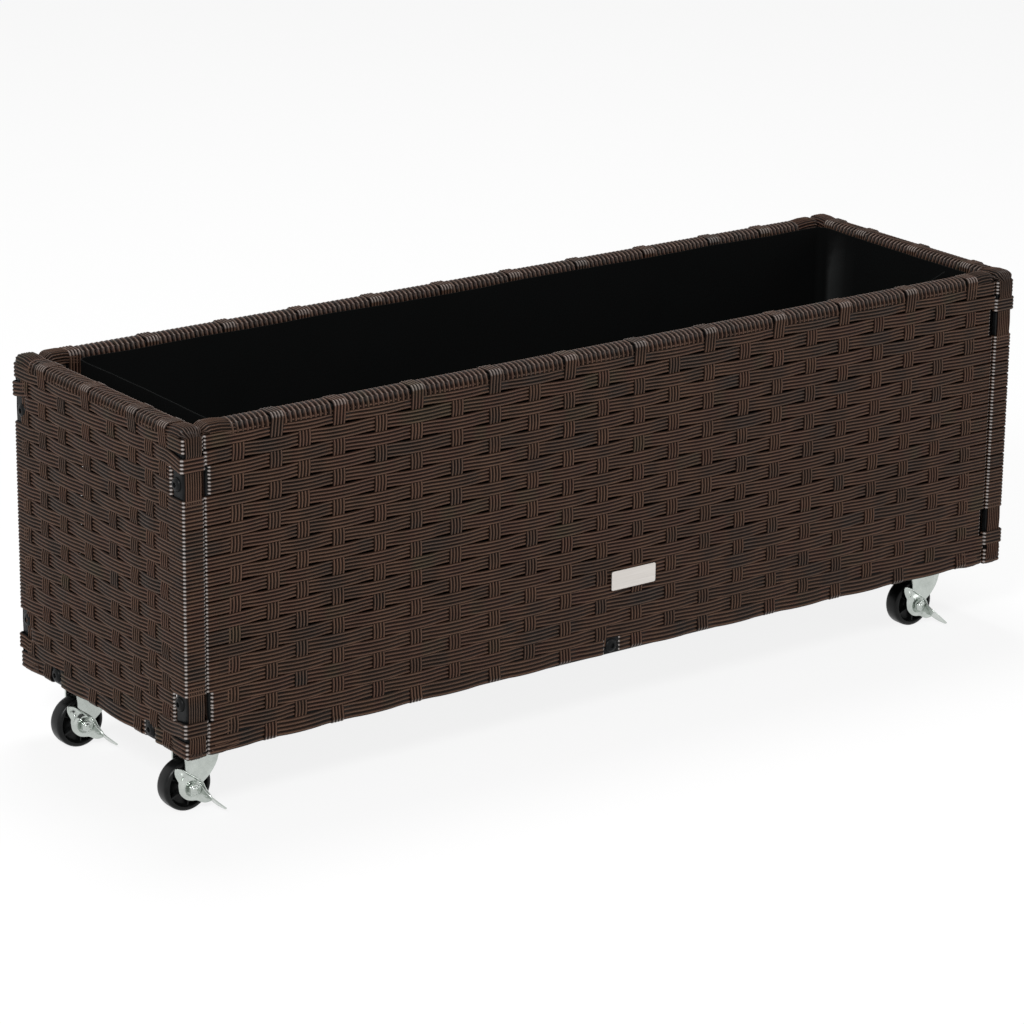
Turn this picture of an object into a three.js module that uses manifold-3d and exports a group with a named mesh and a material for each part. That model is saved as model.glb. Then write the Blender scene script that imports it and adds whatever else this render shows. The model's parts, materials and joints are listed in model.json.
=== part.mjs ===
// A long rolling planter: four woven panels on tube frames are bolted round a base frame,
// a soft liner hangs inside, and the whole stands on four swivel casters with side brakes.
// Millimetres. The origin is on the floor under the middle, +X runs along the planter,
// the front with the badge faces -Y, and +Z is up.

import * as THREE from 'three';
import { mergeVertices } from 'three/addons/utils/BufferGeometryUtils.js';
import Module from 'manifold-3d';

const wasm = await Module();
wasm.setup();

// Whole planter
const LENGTH = 800;              // over the two end panels
const WIDTH = 242;               // over the end panels, front to back
const PANEL_HEIGHT = 251;
const GAP = 0.3;                 // between pieces that touch
const PAST = 2;                  // how far a cutter runs past the face that it opens

// Sides of round pieces
const BOLT_SIDES = 12;           // bolts, axles, stems and their holes
const CUP_SIDES = 16;
const LEVER_SIDES = 24;
const WHEEL_SIDES = 20;
const HEAD_STEPS = 2;            // of a domed bolt head
const CURVE_STEPS = 4;           // of each rounded corner

// Panels
const TUBE = 15;                 // square frame tube
const WRAP = 1.6;                // weave around the tubes
const FIELD = 2.6;               // weave across the window of a frame
const LONG_SETBACK = 1.5;        // long panels stand back from the end panels' edges
const NOTCH_MARGIN = 1;          // rows nearer than this to a corner bolt's head are left open
const NOTCH_WIDTH = 15;          // of that notch, across an end panel's tube
const NOTCH_STEP = 5;            // how far the long weave steps back from its end there
const FOOT_NOTCH_WIDTH = 15;     // weave left open round a bottom bolt

// Wefts, the strips that run along a panel in rows, and the upright stakes that they pass
const ROW_PITCH = 11.5;
const ROW_START = 3.65;          // lowest row, above the panel's foot
const WEFT_GAP = 0.7;            // between two rows
const WEFT_SETBACK = 0.2;        // from the panel's outer face, in front of a stake
const WEFT_DIP = 0.8;            // and how much deeper behind one
const GROOVE_DEPTH = 1.1;        // of the gaps between the rows
const LONG_STAKES = 22;
const LONG_STAKE_INSET = 23;     // first stake, from the end of a long panel
const END_STAKES = 8;
const END_STAKE_INSET = 22;

// Bolts
const BOLT_RADIUS = 3;
const BOLT_HEAD_RADIUS = 5.5;
const BOLT_HEAD_HEIGHT = 2.2;
const BOLT_GRIP = 11;            // how deep a bolt goes into the second tube
const SOCKET_RADIUS = 2.2;       // hexagon recess, over its corners
const SOCKET_DEPTH = 1.2;
const CORNER_BOLT_INSET = 42;    // from a panel's top and bottom edges
const FOOT_BOLT_INSET = 52.5;    // bottom bolts of an end panel, from its edges
const FRONT_BOLT_SHIFT = -10;    // bottom bolt of a long panel, from its middle

// Badge
const BADGE_LENGTH = 43;
const BADGE_HEIGHT = 15.5;
const BADGE_THICKNESS = 0.9;
const BADGE_RADIUS = 2.2;
const BADGE_SHIFT = 9;           // its centre, from the middle of the front
const BADGE_RISE = 63;           // its centre, above the underside of the panel

// Base frame
const SLATS = 4;
const GUSSET_REACH = 24;         // from the swivel axis, inwards
const GUSSET_THICKNESS = 3;
const BOSS_RADIUS = 6.5;
const BOSS_HEIGHT = 8;

// Liner
const LINER_WALL = 1;
const LINER_DROP = 4;            // its edge, below the top of the panels
const LINER_LEFT_SLACK = 21;     // to the left end panel
const LINER_RIGHT_SLACK = 1;     // to the right end panel
const LINER_SIDE_SLACK = 1;      // to each long panel

// Casters
const SWIVEL_INSET = 43;         // swivel axis, from the planter's outer faces
const TRAIL = 19.5;              // axle behind the swivel axis
const WHEEL_RADIUS = 20;
const TREAD_WIDTH = 14;
const HUB_WIDTH = 15;
const HUB_RADIUS = 6;
const RIM_INNER_RADIUS = 16.2;
const WEB_THICKNESS = 4;
const RECESS_TAPER = 1;          // of the hub and the rim, towards the web
const TREAD_ROUNDING = 1.5;
const RIB_THICKNESS = 1.4;
const RIB_WIDTH = 11;
const RIB_PAIRS = 3;
const AXLE_RADIUS = 2.5;
const AXLE_HEAD_RADIUS = 4.6;
const AXLE_HEAD_HEIGHT = 2.4;
const AXLE_HEAD_CHAMFER = 1.3;
const NUT_FLATS = 8;
const NUT_HEIGHT = 4;
const LEG_THICKNESS = 2;
const LEG_PLAY = 0.4;            // between hub and leg
const LEG_END_RADIUS = 4.5;
const LEG_FRONT = 6.5;           // leading edge of a leg, at the crown
const LEG_TOE = 310;             // degrees round the axle to where the leading edge begins
const LEG_FLARE = 1.5;           // the pull of that edge: back from its top
const LEG_RISE = 8;              // and up from the axle
const CROWN_RADIUS = 13.5;
const CROWN_THICKNESS = 2;
const CROWN_CLEARANCE = 6;       // wheel to the underside of the crown
const CUP_RADIUS = 12.5;
const CUP_HEIGHT = 6;
const STEM_RADIUS = 4;
const STEM_END = 2;              // stem above its boss
const FLANGE_RADIUS = 8;
const FLANGE_THICKNESS = 2;
const RIVET_RADIUS = 6.5;
const RIVET_HEIGHT = 2;

// Brake lever, pressed down: sizes are from the axle, in the lever's own plate
const LEVER_THICKNESS = 1.8;
const LEVER_RADIUS = 11.6;
const LEVER_ROUNDING = 3;
const ARM_ROOT_WIDTH = 18.6;     // of both arms, at the axle
const WING_REACH = 21.5;         // tip of the short arm
const WING_WIDTH = 8;
const EAR_REACH = 20;            // tip of the arm that carries the pedal
const EAR_WIDTH = 11;
const ARM_SLOPE = 47;            // of both arms, in degrees below the horizontal
const PEDAL_OFFSET = 8.2;        // plane of the pedal, from the axle
const PEDAL_SLOPE = 44;
const PEDAL_LEAN = 20;           // past square to the plate
const PEDAL_ROOT = 15;
const PEDAL_TIP = 18;
const PEDAL_REACH = 17;
const PEDAL_SWEEP = 4;           // its outer edge, shifted towards the toe
const PEDAL_START = 5.5;         // its root, from the axle's foot on its plane
const PEDAL_THICKNESS = 1.6;
const PEDAL_ROUNDING = 2.5;

// Worked out from the sizes above
const COVER = WRAP + GAP;
const PANEL = TUBE + 2 * COVER;
const LONG_LENGTH = LENGTH - 2 * (PANEL + GAP);
const LONG_CENTRE = WIDTH / 2 - LONG_SETBACK - PANEL / 2;
const BASE_HALF_LENGTH = LENGTH / 2 - PANEL - GAP;
const BASE_HALF_WIDTH = WIDTH / 2 - LONG_SETBACK - PANEL - GAP;
const BOLT_LENGTH = PANEL - WRAP + GAP + BOLT_GRIP;
const CORNER_BOLT_HEIGHTS = [CORNER_BOLT_INSET, PANEL_HEIGHT - CORNER_BOLT_INSET];
const FOOT_BOLT_HEIGHT = PANEL / 2;
const FOOT_BOLT_PLACES = [FOOT_BOLT_INSET - WIDTH / 2, WIDTH / 2 - FOOT_BOLT_INSET];
const ROWS = Math.floor((PANEL_HEIGHT - ROW_START - WRAP) / ROW_PITCH);

// Heights, from the floor up through a caster to the rim
const CROWN_BOTTOM = 2 * WHEEL_RADIUS + CROWN_CLEARANCE;
const CROWN_TOP = CROWN_BOTTOM + CROWN_THICKNESS;
const CUP_BOTTOM = CROWN_TOP + GAP;
const CUP_TOP = CUP_BOTTOM + CUP_HEIGHT;
const SHOULDER = CUP_TOP + GAP + FLANGE_THICKNESS;
const BASE_BOTTOM = SHOULDER + GAP;
const BASE_TOP = BASE_BOTTOM + TUBE;
const GUSSET_TOP = BASE_BOTTOM + GUSSET_THICKNESS;
const BOSS_TOP = GUSSET_TOP + BOSS_HEIGHT;
const PANEL_BOTTOM = BASE_BOTTOM - COVER;
const RIM_HEIGHT = PANEL_BOTTOM + PANEL_HEIGHT;

// Widths, from the middle of a wheel outwards
const LEG_INSIDE = HUB_WIDTH / 2 + LEG_PLAY;
const LEG_OUTSIDE = LEG_INSIDE + LEG_THICKNESS;
const LEVER_INSIDE = LEG_OUTSIDE + GAP;
const LEVER_OUTSIDE = LEVER_INSIDE + LEVER_THICKNESS;

const FINISHES = {
  weave: { color: 0x4d3b35, roughness: 0.5, metalness: 0 },
  blackSteel: { color: 0x17191a, roughness: 0.45, metalness: 0.2 },
  liner: { color: 0x1b1d1d, roughness: 0.9, metalness: 0 },
  badge: { color: 0xd9d9d6, roughness: 0.35, metalness: 0.8 },
  zinc: { color: 0xc2c7c2, roughness: 0.35, metalness: 0.85 },
  wheel: { color: 0x1c1e1e, roughness: 0.35, metalness: 0 },
};

// Turns a closed three.js geometry into a solid that can be cut and joined.
function toSolid(geometry) {
  geometry.deleteAttribute('normal');
  geometry.deleteAttribute('uv');
  const merged = mergeVertices(geometry, 1e-4);
  return new wasm.Manifold(new wasm.Mesh({
    numProp: 3,
    vertProperties: merged.attributes.position.array,
    triVerts: new Uint32Array(merged.index.array),
  }));
}

function toGeometry(solid) {
  const { vertProperties, triVerts } = solid.getMesh();
  const geometry = new THREE.BufferGeometry();
  geometry.setAttribute('position', new THREE.BufferAttribute(vertProperties, 3));
  geometry.setIndex(new THREE.BufferAttribute(triVerts, 1));
  geometry.computeVertexNormals();
  return geometry;
}

// A block between two opposite corners.
function block([x0, y0, z0], [x1, y1, z1]) {
  const geometry = new THREE.BoxGeometry(x1 - x0, y1 - y0, z1 - z0);
  return toSolid(geometry.translate((x0 + x1) / 2, (y0 + y1) / 2, (z0 + z1) / 2));
}

// A round bar along Y, or along Z when it stands.
function barAlongY(radius, y0, y1, sides) {
  const geometry = new THREE.CylinderGeometry(radius, radius, y1 - y0, sides);
  return toSolid(geometry.translate(0, (y0 + y1) / 2, 0));
}

function barAlongZ(radius, z0, z1, sides) {
  const geometry = new THREE.CylinderGeometry(radius, radius, z1 - z0, sides).rotateX(Math.PI / 2);
  return toSolid(geometry.translate(0, 0, (z0 + z1) / 2));
}

// A profile of [radius, y] pairs turned round the Y axis.
function turned(profile, sides) {
  return new THREE.LatheGeometry(profile.map(([r, y]) => new THREE.Vector2(r, y)), sides);
}

// A plate whose outline is drawn in X and Z, between two places along Y.
function plateAcrossY(shape, y0, y1) {
  const geometry = new THREE.ExtrudeGeometry(shape, {
    depth: y1 - y0,
    bevelEnabled: false,
    curveSegments: CURVE_STEPS,
  });
  return toSolid(geometry.rotateX(Math.PI / 2).translate(0, y1, 0));
}

// A shape round an open corner list, each corner rounded off.
function roundedShape(corners, radius) {
  const shape = new THREE.Shape();
  corners.forEach((corner, i) => {
    const before = corners[(i + corners.length - 1) % corners.length];
    const after = corners[(i + 1) % corners.length];
    const start = corner.clone().add(before.clone().sub(corner).setLength(radius));
    const end = corner.clone().add(after.clone().sub(corner).setLength(radius));
    if (i === 0) {
      shape.moveTo(start.x, start.y);
    } else {
      shape.lineTo(start.x, start.y);
    }
    shape.quadraticCurveTo(corner.x, corner.y, end.x, end.y);
  });
  shape.closePath();
  return shape;
}

function roundedRectangle(width, height, radius) {
  const [x, y] = [width / 2, height / 2];
  const corners = [[-x, -y], [x, -y], [x, y], [-x, y]].map(([u, v]) => new THREE.Vector2(u, v));
  return roundedShape(corners, radius);
}

// A frame of square tube round a window, between two places along Y.
function ring(halfLength, height, inset, width, y0, y1) {
  const outside = block([inset - halfLength, y0, inset], [halfLength - inset, y1, height - inset]);
  const edge = inset + width;
  const inside = block([edge - halfLength, y0 - PAST, edge], [halfLength - edge, y1 + PAST, height - edge]);
  return outside.subtract(inside);
}

function mesh(name, geometry, finish) {
  const result = new THREE.Mesh(geometry, new THREE.MeshStandardMaterial(FINISHES[finish]));
  result.name = name;
  return result;
}

// Panels are drawn lying along X with their outer face at y = 0 and their foot at z = 0.
function boltHole(x, z, y0, y1) {
  return barAlongY(BOLT_RADIUS + GAP, y0, y1, BOLT_SIDES).translate([x, 0, z]);
}

function bolt(name, x, z) {
  const profile = [];
  for (let i = 0; i <= HEAD_STEPS; i += 1) {
    const angle = i / HEAD_STEPS * Math.PI / 2;
    profile.push([BOLT_HEAD_RADIUS * Math.sin(angle), -BOLT_HEAD_HEIGHT * Math.cos(angle)]);
  }
  profile.push([BOLT_RADIUS, 0], [BOLT_RADIUS, BOLT_LENGTH], [0, BOLT_LENGTH]);
  const body = toSolid(turned(profile, BOLT_SIDES));
  const socketFloor = SOCKET_DEPTH - BOLT_HEAD_HEIGHT;
  const socket = barAlongY(SOCKET_RADIUS, -BOLT_HEAD_HEIGHT - PAST, socketFloor, 6);
  const result = mesh(name, toGeometry(body.subtract(socket)), 'blackSteel');
  result.position.set(x, WRAP, z);
  return result;
}

// One weft seen from above: over the frame's sides at its ends, and between them in front of one
// stake and behind the next. Neighbouring rows take turns, and the rows over the rails lie flat.
function weftShape(halfLength, stakes, stakeInset, row) {
  const end = halfLength + 2 * PAST;
  const back = GROOVE_DEPTH + PAST;
  const first = stakeInset - halfLength;
  const pitch = -2 * first / (stakes - 1);
  const onRail = row === 0 || row === ROWS - 1;
  const shape = new THREE.Shape();
  shape.moveTo(-end, back);
  shape.lineTo(-end, WEFT_SETBACK);
  shape.lineTo(COVER + TUBE - halfLength, WEFT_SETBACK);
  for (let i = 0; i < stakes && !onRail; i += 1) {
    const behind = (i + row) % 2;
    shape.lineTo(first + i * pitch, WEFT_SETBACK + behind * WEFT_DIP);
  }
  shape.lineTo(halfLength - COVER - TUBE, WEFT_SETBACK);
  shape.lineTo(end, WEFT_SETBACK);
  shape.lineTo(end, back);
  shape.closePath();
  return shape;
}

// What the rows leave free in front of the weave.
function weftRelief(halfLength, stakes, stakeInset) {
  let relief = block(
    [-halfLength - PAST, -PAST, ROW_START],
    [halfLength + PAST, GROOVE_DEPTH, ROW_START + ROWS * ROW_PITCH],
  );
  for (let row = 0; row < ROWS; row += 1) {
    const geometry = new THREE.ExtrudeGeometry(weftShape(halfLength, stakes, stakeInset, row), {
      depth: ROW_PITCH - WEFT_GAP,
      bevelEnabled: false,
    });
    const foot = ROW_START + row * ROW_PITCH + WEFT_GAP / 2;
    relief = relief.subtract(toSolid(geometry.translate(0, 0, foot)));
  }
  return relief;
}

// The weave covers the tubes on all sides and closes the window with a thinner sheet.
function weave(halfLength, stakes, stakeInset) {
  const outside = block([-halfLength, 0, 0], [halfLength, PANEL, PANEL_HEIGHT])
    .subtract(weftRelief(halfLength, stakes, stakeInset));
  const window = block(
    [PANEL - halfLength, FIELD, PANEL],
    [halfLength - PANEL, PANEL + PAST, PANEL_HEIGHT - PANEL],
  );
  const channel = ring(halfLength, PANEL_HEIGHT, WRAP, TUBE + 2 * GAP, WRAP, PANEL - WRAP);
  return outside.subtract(window).subtract(channel);
}

function tubeFrame(halfLength) {
  return ring(halfLength, PANEL_HEIGHT, COVER, TUBE, COVER, COVER + TUBE);
}

// From where to where the rows round a corner bolt are left out.
function notchSpan(z) {
  const reach = BOLT_HEAD_RADIUS + NOTCH_MARGIN;
  const lowest = Math.floor((z - reach - ROW_START) / ROW_PITCH);
  const highest = Math.floor((z + reach - ROW_START) / ROW_PITCH);
  return [ROW_START + lowest * ROW_PITCH, ROW_START + (highest + 1) * ROW_PITCH];
}

// Where a bottom bolt goes in, the lowest row is left open in front and has a hole behind.
function cutFootBolt(cover, x) {
  const notch = block(
    [x - FOOT_NOTCH_WIDTH / 2, -PAST, ROW_START],
    [x + FOOT_NOTCH_WIDTH / 2, COVER, ROW_START + ROW_PITCH],
  );
  return cover.subtract(notch).subtract(boltHole(x, FOOT_BOLT_HEIGHT, PANEL / 2, PANEL + PAST));
}

// The hole that a bolt from an end panel takes in a rail, drawn from the rail's end.
function endHole(end) {
  return boltHole(0, 0, -PAST, BOLT_GRIP + GAP).rotate([0, 0, 90 * end]);
}

function longPanel(side, boltPlace) {
  const group = new THREE.Group();
  const halfLength = LONG_LENGTH / 2;
  let frame = tubeFrame(halfLength);
  let cover = weave(halfLength, LONG_STAKES, LONG_STAKE_INSET);
  for (const end of [-1, 1]) {
    for (const z of CORNER_BOLT_HEIGHTS) {
      frame = frame.subtract(endHole(end).translate([end * (halfLength - COVER), PANEL / 2, z]));
      const [low, high] = notchSpan(z);
      const notch = block([halfLength - NOTCH_STEP, -PAST, low], [halfLength + PAST, PANEL + PAST, high]);
      cover = cover.subtract(end > 0 ? notch : notch.mirror([1, 0, 0]));
    }
  }
  frame = frame.subtract(boltHole(boltPlace, FOOT_BOLT_HEIGHT, -PAST, PANEL + PAST));
  cover = cutFootBolt(cover, boltPlace);
  group.add(mesh(`${side}_frame`, toGeometry(frame), 'blackSteel'));
  group.add(mesh(`${side}_weave`, toGeometry(cover), 'weave'));
  group.add(bolt(`${side}_foot_bolt`, boltPlace, FOOT_BOLT_HEIGHT));
  return group;
}

function endPanel(side) {
  const group = new THREE.Group();
  const halfLength = WIDTH / 2;
  let frame = tubeFrame(halfLength);
  let cover = weave(halfLength, END_STAKES, END_STAKE_INSET);
  for (const x of [-LONG_CENTRE, LONG_CENTRE]) {
    for (const z of CORNER_BOLT_HEIGHTS) {
      frame = frame.subtract(boltHole(x, z, -PAST, PANEL + PAST));
      const notchCentre = Math.sign(x) * (halfLength - PANEL / 2);
      const [low, high] = notchSpan(z);
      const notch = block(
        [notchCentre - NOTCH_WIDTH / 2, -PAST, low],
        [notchCentre + NOTCH_WIDTH / 2, COVER, high],
      );
      cover = cover.subtract(notch).subtract(boltHole(x, z, PANEL / 2, PANEL + PAST));
      const height = z === CORNER_BOLT_HEIGHTS[0] ? 'lower' : 'upper';
      group.add(bolt(`${side}_${height}_bolt_${x < 0 ? 'a' : 'b'}`, x, z));
    }
  }
  for (const x of FOOT_BOLT_PLACES) {
    frame = frame.subtract(boltHole(x, FOOT_BOLT_HEIGHT, -PAST, PANEL + PAST));
    cover = cutFootBolt(cover, x);
    group.add(bolt(`${side}_foot_bolt_${x < 0 ? 'a' : 'b'}`, x, FOOT_BOLT_HEIGHT));
  }
  group.add(mesh(`${side}_frame`, toGeometry(frame), 'blackSteel'));
  group.add(mesh(`${side}_weave`, toGeometry(cover), 'weave'));
  return group;
}

function badge() {
  const plate = plateAcrossY(
    roundedRectangle(BADGE_LENGTH, BADGE_HEIGHT, BADGE_RADIUS),
    -GAP - BADGE_THICKNESS,
    -GAP,
  );
  const result = mesh('badge', toGeometry(plate), 'badge');
  result.position.set(BADGE_SHIFT, 0, BADGE_RISE);
  return result;
}

// Two long rails, two end rails, cross slats, and a gusset with a welded boss at each corner.
function baseFrame() {
  const [halfLength, halfWidth] = [BASE_HALF_LENGTH, BASE_HALF_WIDTH];
  const outside = block([-halfLength, -halfWidth, BASE_BOTTOM], [halfLength, halfWidth, BASE_TOP]);
  const inside = block(
    [TUBE - halfLength, TUBE - halfWidth, BASE_BOTTOM - PAST],
    [halfLength - TUBE, halfWidth - TUBE, BASE_TOP + PAST],
  );
  let frame = outside.subtract(inside);
  const pitch = 2 * (halfLength - TUBE / 2) / (SLATS + 1);
  for (let i = 1; i <= SLATS; i += 1) {
    const x = -halfLength + TUBE / 2 + i * pitch;
    frame = frame.add(block(
      [x - TUBE / 2, -halfWidth + TUBE / 2, BASE_BOTTOM],
      [x + TUBE / 2, halfWidth - TUBE / 2, BASE_TOP],
    ));
  }
  for (const [x, y] of swivelPlaces()) {
    const corner = [Math.sign(x) * halfLength, Math.sign(y) * halfWidth];
    const inner = [x - Math.sign(x) * GUSSET_REACH, y - Math.sign(y) * GUSSET_REACH];
    const gusset = block(
      [Math.min(corner[0], inner[0]), Math.min(corner[1], inner[1]), BASE_BOTTOM],
      [Math.max(corner[0], inner[0]), Math.max(corner[1], inner[1]), GUSSET_TOP],
    );
    const boss = barAlongZ(BOSS_RADIUS, BASE_BOTTOM, BOSS_TOP, BOLT_SIDES);
    const bore = barAlongZ(STEM_RADIUS + GAP, BASE_BOTTOM - PAST, BASE_TOP + PAST, BOLT_SIDES);
    frame = frame.add(gusset).add(boss.translate([x, y, 0])).subtract(bore.translate([x, y, 0]));
  }
  return mesh('base_frame', toGeometry(cutBaseBolts(frame)), 'blackSteel');
}

function cutBaseBolts(frame) {
  const z = PANEL_BOTTOM + FOOT_BOLT_HEIGHT;
  let cut = frame;
  for (const end of [-1, 1]) {
    for (const y of FOOT_BOLT_PLACES) {
      cut = cut.subtract(endHole(end).translate([end * BASE_HALF_LENGTH, y, z]));
    }
  }
  const hole = boltHole(0, 0, -PAST, BOLT_GRIP + GAP);
  cut = cut.subtract(hole.translate([FRONT_BOLT_SHIFT, -BASE_HALF_WIDTH, z]));
  return cut.subtract(hole.rotate([0, 0, 180]).translate([FRONT_BOLT_SHIFT, BASE_HALF_WIDTH, z]));
}

// An open bag that stands on the slats and reaches almost to the top of the panels.
function liner() {
  const left = -LENGTH / 2 + PANEL + LINER_LEFT_SLACK;
  const right = LENGTH / 2 - PANEL - LINER_RIGHT_SLACK;
  const halfWidth = WIDTH / 2 - LONG_SETBACK - PANEL - LINER_SIDE_SLACK;
  const bottom = BASE_TOP + GAP;
  const top = RIM_HEIGHT - LINER_DROP;
  const outside = block([left, -halfWidth, bottom], [right, halfWidth, top]);
  const inside = block(
    [left + LINER_WALL, LINER_WALL - halfWidth, bottom + LINER_WALL],
    [right - LINER_WALL, halfWidth - LINER_WALL, top + PAST],
  );
  return mesh('liner', toGeometry(outside.subtract(inside)), 'liner');
}

// Casters are drawn round their swivel axis, with the wheel trailing towards -X.
function swivelPlaces() {
  const [x, y] = [LENGTH / 2 - SWIVEL_INSET, WIDTH / 2 - SWIVEL_INSET];
  return [[-x, -y], [x, -y], [-x, y], [x, y]];
}

function stem() {
  const end = BOSS_TOP + STEM_END;
  const rivetTop = CROWN_BOTTOM - GAP;
  const profile = [
    [0, rivetTop - RIVET_HEIGHT],
    [RIVET_RADIUS, rivetTop - RIVET_HEIGHT],
    [RIVET_RADIUS, rivetTop],
    [STEM_RADIUS, rivetTop],
    [STEM_RADIUS, SHOULDER - FLANGE_THICKNESS],
    [FLANGE_RADIUS, SHOULDER - FLANGE_THICKNESS],
    [FLANGE_RADIUS, SHOULDER],
    [STEM_RADIUS, SHOULDER],
    [STEM_RADIUS, end],
    [0, end],
  ];
  return toGeometry(toSolid(turned(profile, BOLT_SIDES).rotateX(Math.PI / 2)));
}

function bearingCup() {
  const bore = STEM_RADIUS + GAP;
  const profile = [
    [bore, CUP_BOTTOM],
    [CUP_RADIUS, CUP_BOTTOM],
    [CUP_RADIUS, CUP_BOTTOM + CUP_HEIGHT / 2],
    [FLANGE_RADIUS, CUP_TOP],
    [bore, CUP_TOP],
    [bore, CUP_BOTTOM],
  ];
  return toGeometry(toSolid(turned(profile, CUP_SIDES).rotateX(Math.PI / 2)));
}

// One leg seen from the side: round at the axle, straight behind, curved in front.
function legShape() {
  const shape = new THREE.Shape();
  const toe = THREE.MathUtils.degToRad(LEG_TOE);
  shape.moveTo(-TRAIL - LEG_END_RADIUS, CROWN_TOP);
  shape.lineTo(-TRAIL - LEG_END_RADIUS, WHEEL_RADIUS);
  shape.absarc(-TRAIL, WHEEL_RADIUS, LEG_END_RADIUS, Math.PI, toe, false);
  shape.quadraticCurveTo(LEG_FRONT - LEG_FLARE, WHEEL_RADIUS + LEG_RISE, LEG_FRONT, CROWN_TOP);
  shape.closePath();
  return shape;
}

function fork() {
  const axleBore = barAlongY(AXLE_RADIUS + GAP, -LEG_OUTSIDE - PAST, LEG_OUTSIDE + PAST, BOLT_SIDES);
  const backEdge = -TRAIL - LEG_END_RADIUS;
  return toGeometry(
    barAlongZ(CROWN_RADIUS, CROWN_BOTTOM, CROWN_TOP, CUP_SIDES)
      .add(block([backEdge, -LEG_OUTSIDE, CROWN_BOTTOM], [LEG_FRONT, LEG_OUTSIDE, CROWN_TOP]))
      .add(plateAcrossY(legShape(), -LEG_OUTSIDE, -LEG_INSIDE))
      .add(plateAcrossY(legShape(), LEG_INSIDE, LEG_OUTSIDE))
      .subtract(axleBore.translate([-TRAIL, 0, WHEEL_RADIUS]))
      .subtract(barAlongZ(STEM_RADIUS + GAP, CROWN_BOTTOM - PAST, CROWN_TOP + PAST, BOLT_SIDES)),
  );
}

function wheel() {
  const [hub, tread, web] = [HUB_WIDTH / 2, TREAD_WIDTH / 2, WEB_THICKNESS / 2];
  const half = [
    [AXLE_RADIUS + GAP, hub],
    [HUB_RADIUS, hub],
    [HUB_RADIUS + RECESS_TAPER, web],
    [RIM_INNER_RADIUS - RECESS_TAPER, web],
    [RIM_INNER_RADIUS, tread],
    [WHEEL_RADIUS - TREAD_ROUNDING, tread],
    [WHEEL_RADIUS, tread - TREAD_ROUNDING],
  ];
  const near = half.map(([r, y]) => [r, -y]);
  let body = toSolid(turned([...near, ...half.toReversed(), near[0]], WHEEL_SIDES));
  for (let i = 0; i < RIB_PAIRS; i += 1) {
    const rib = block(
      [-RIM_INNER_RADIUS, -RIB_WIDTH / 2, -RIB_THICKNESS / 2],
      [RIM_INNER_RADIUS, RIB_WIDTH / 2, RIB_THICKNESS / 2],
    );
    body = body.add(rib.rotate([0, 180 * i / RIB_PAIRS, 0]));
  }
  return toGeometry(body.subtract(barAlongY(AXLE_RADIUS + GAP, -HUB_WIDTH, HUB_WIDTH, WHEEL_SIDES)));
}

function axle() {
  const seat = LEG_OUTSIDE + GAP;
  const end = -(LEVER_OUTSIDE + 2 * GAP + NUT_HEIGHT);
  const headEnd = seat + AXLE_HEAD_HEIGHT;
  const profile = [
    [0, end],
    [AXLE_RADIUS, end],
    [AXLE_RADIUS, seat],
    [AXLE_HEAD_RADIUS, seat],
    [AXLE_HEAD_RADIUS, headEnd - AXLE_HEAD_CHAMFER],
    [AXLE_HEAD_RADIUS - AXLE_HEAD_CHAMFER, headEnd],
    [0, headEnd],
  ];
  return toGeometry(toSolid(turned(profile, BOLT_SIDES)));
}

function nut() {
  const outer = -(LEVER_OUTSIDE + GAP + NUT_HEIGHT);
  const inner = -(LEVER_OUTSIDE + GAP);
  const cornerRadius = NUT_FLATS / Math.sqrt(3);
  const bore = barAlongY(AXLE_RADIUS + GAP, outer - PAST, inner + PAST, BOLT_SIDES);
  return toGeometry(barAlongY(cornerRadius, outer, inner, 6).subtract(bore));
}

// An arm of the lever's plate, tapering from the axle to a rounded tip.
function leverArm(reach, width, degrees) {
  const angle = THREE.MathUtils.degToRad(degrees);
  const along = new THREE.Vector2(Math.cos(angle), Math.sin(angle));
  const across = new THREE.Vector2(-along.y, along.x);
  const place = (a, b) => along.clone().multiplyScalar(a).addScaledVector(across, b);
  const corners = [
    place(0, -ARM_ROOT_WIDTH / 2),
    place(reach, -width / 2),
    place(reach, width / 2),
    place(0, ARM_ROOT_WIDTH / 2),
  ];
  return plateAcrossY(roundedShape(corners, LEVER_ROUNDING), -LEVER_OUTSIDE, -LEVER_INSIDE);
}

// The pedal stands out from the plate, leaning back over it. The front foot presses it.
function pedal() {
  const slope = THREE.MathUtils.degToRad(PEDAL_SLOPE);
  const lean = THREE.MathUtils.degToRad(PEDAL_LEAN);
  const along = new THREE.Vector3(Math.cos(slope), 0, -Math.sin(slope));
  const square = new THREE.Vector3(Math.sin(slope), 0, Math.cos(slope));
  const out = new THREE.Vector3(0, -Math.cos(lean), 0).addScaledVector(square, -Math.sin(lean));
  const outline = roundedShape([
    new THREE.Vector2(0, -LEVER_THICKNESS / 2),
    new THREE.Vector2(PEDAL_ROOT, -LEVER_THICKNESS / 2),
    new THREE.Vector2(PEDAL_SWEEP + PEDAL_TIP, PEDAL_REACH),
    new THREE.Vector2(PEDAL_SWEEP, PEDAL_REACH),
  ], PEDAL_ROUNDING);
  const geometry = new THREE.ExtrudeGeometry(outline, {
    depth: PEDAL_THICKNESS,
    bevelEnabled: false,
    curveSegments: CURVE_STEPS,
  });
  geometry.translate(PEDAL_START, 0, -PEDAL_THICKNESS / 2);
  const basis = new THREE.Matrix4().makeBasis(along, out, along.clone().cross(out));
  const foot = square.clone().multiplyScalar(PEDAL_OFFSET);
  geometry.applyMatrix4(basis.setPosition(foot.x, -LEVER_OUTSIDE + LEVER_THICKNESS / 2, foot.z));
  return toSolid(geometry);
}

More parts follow.
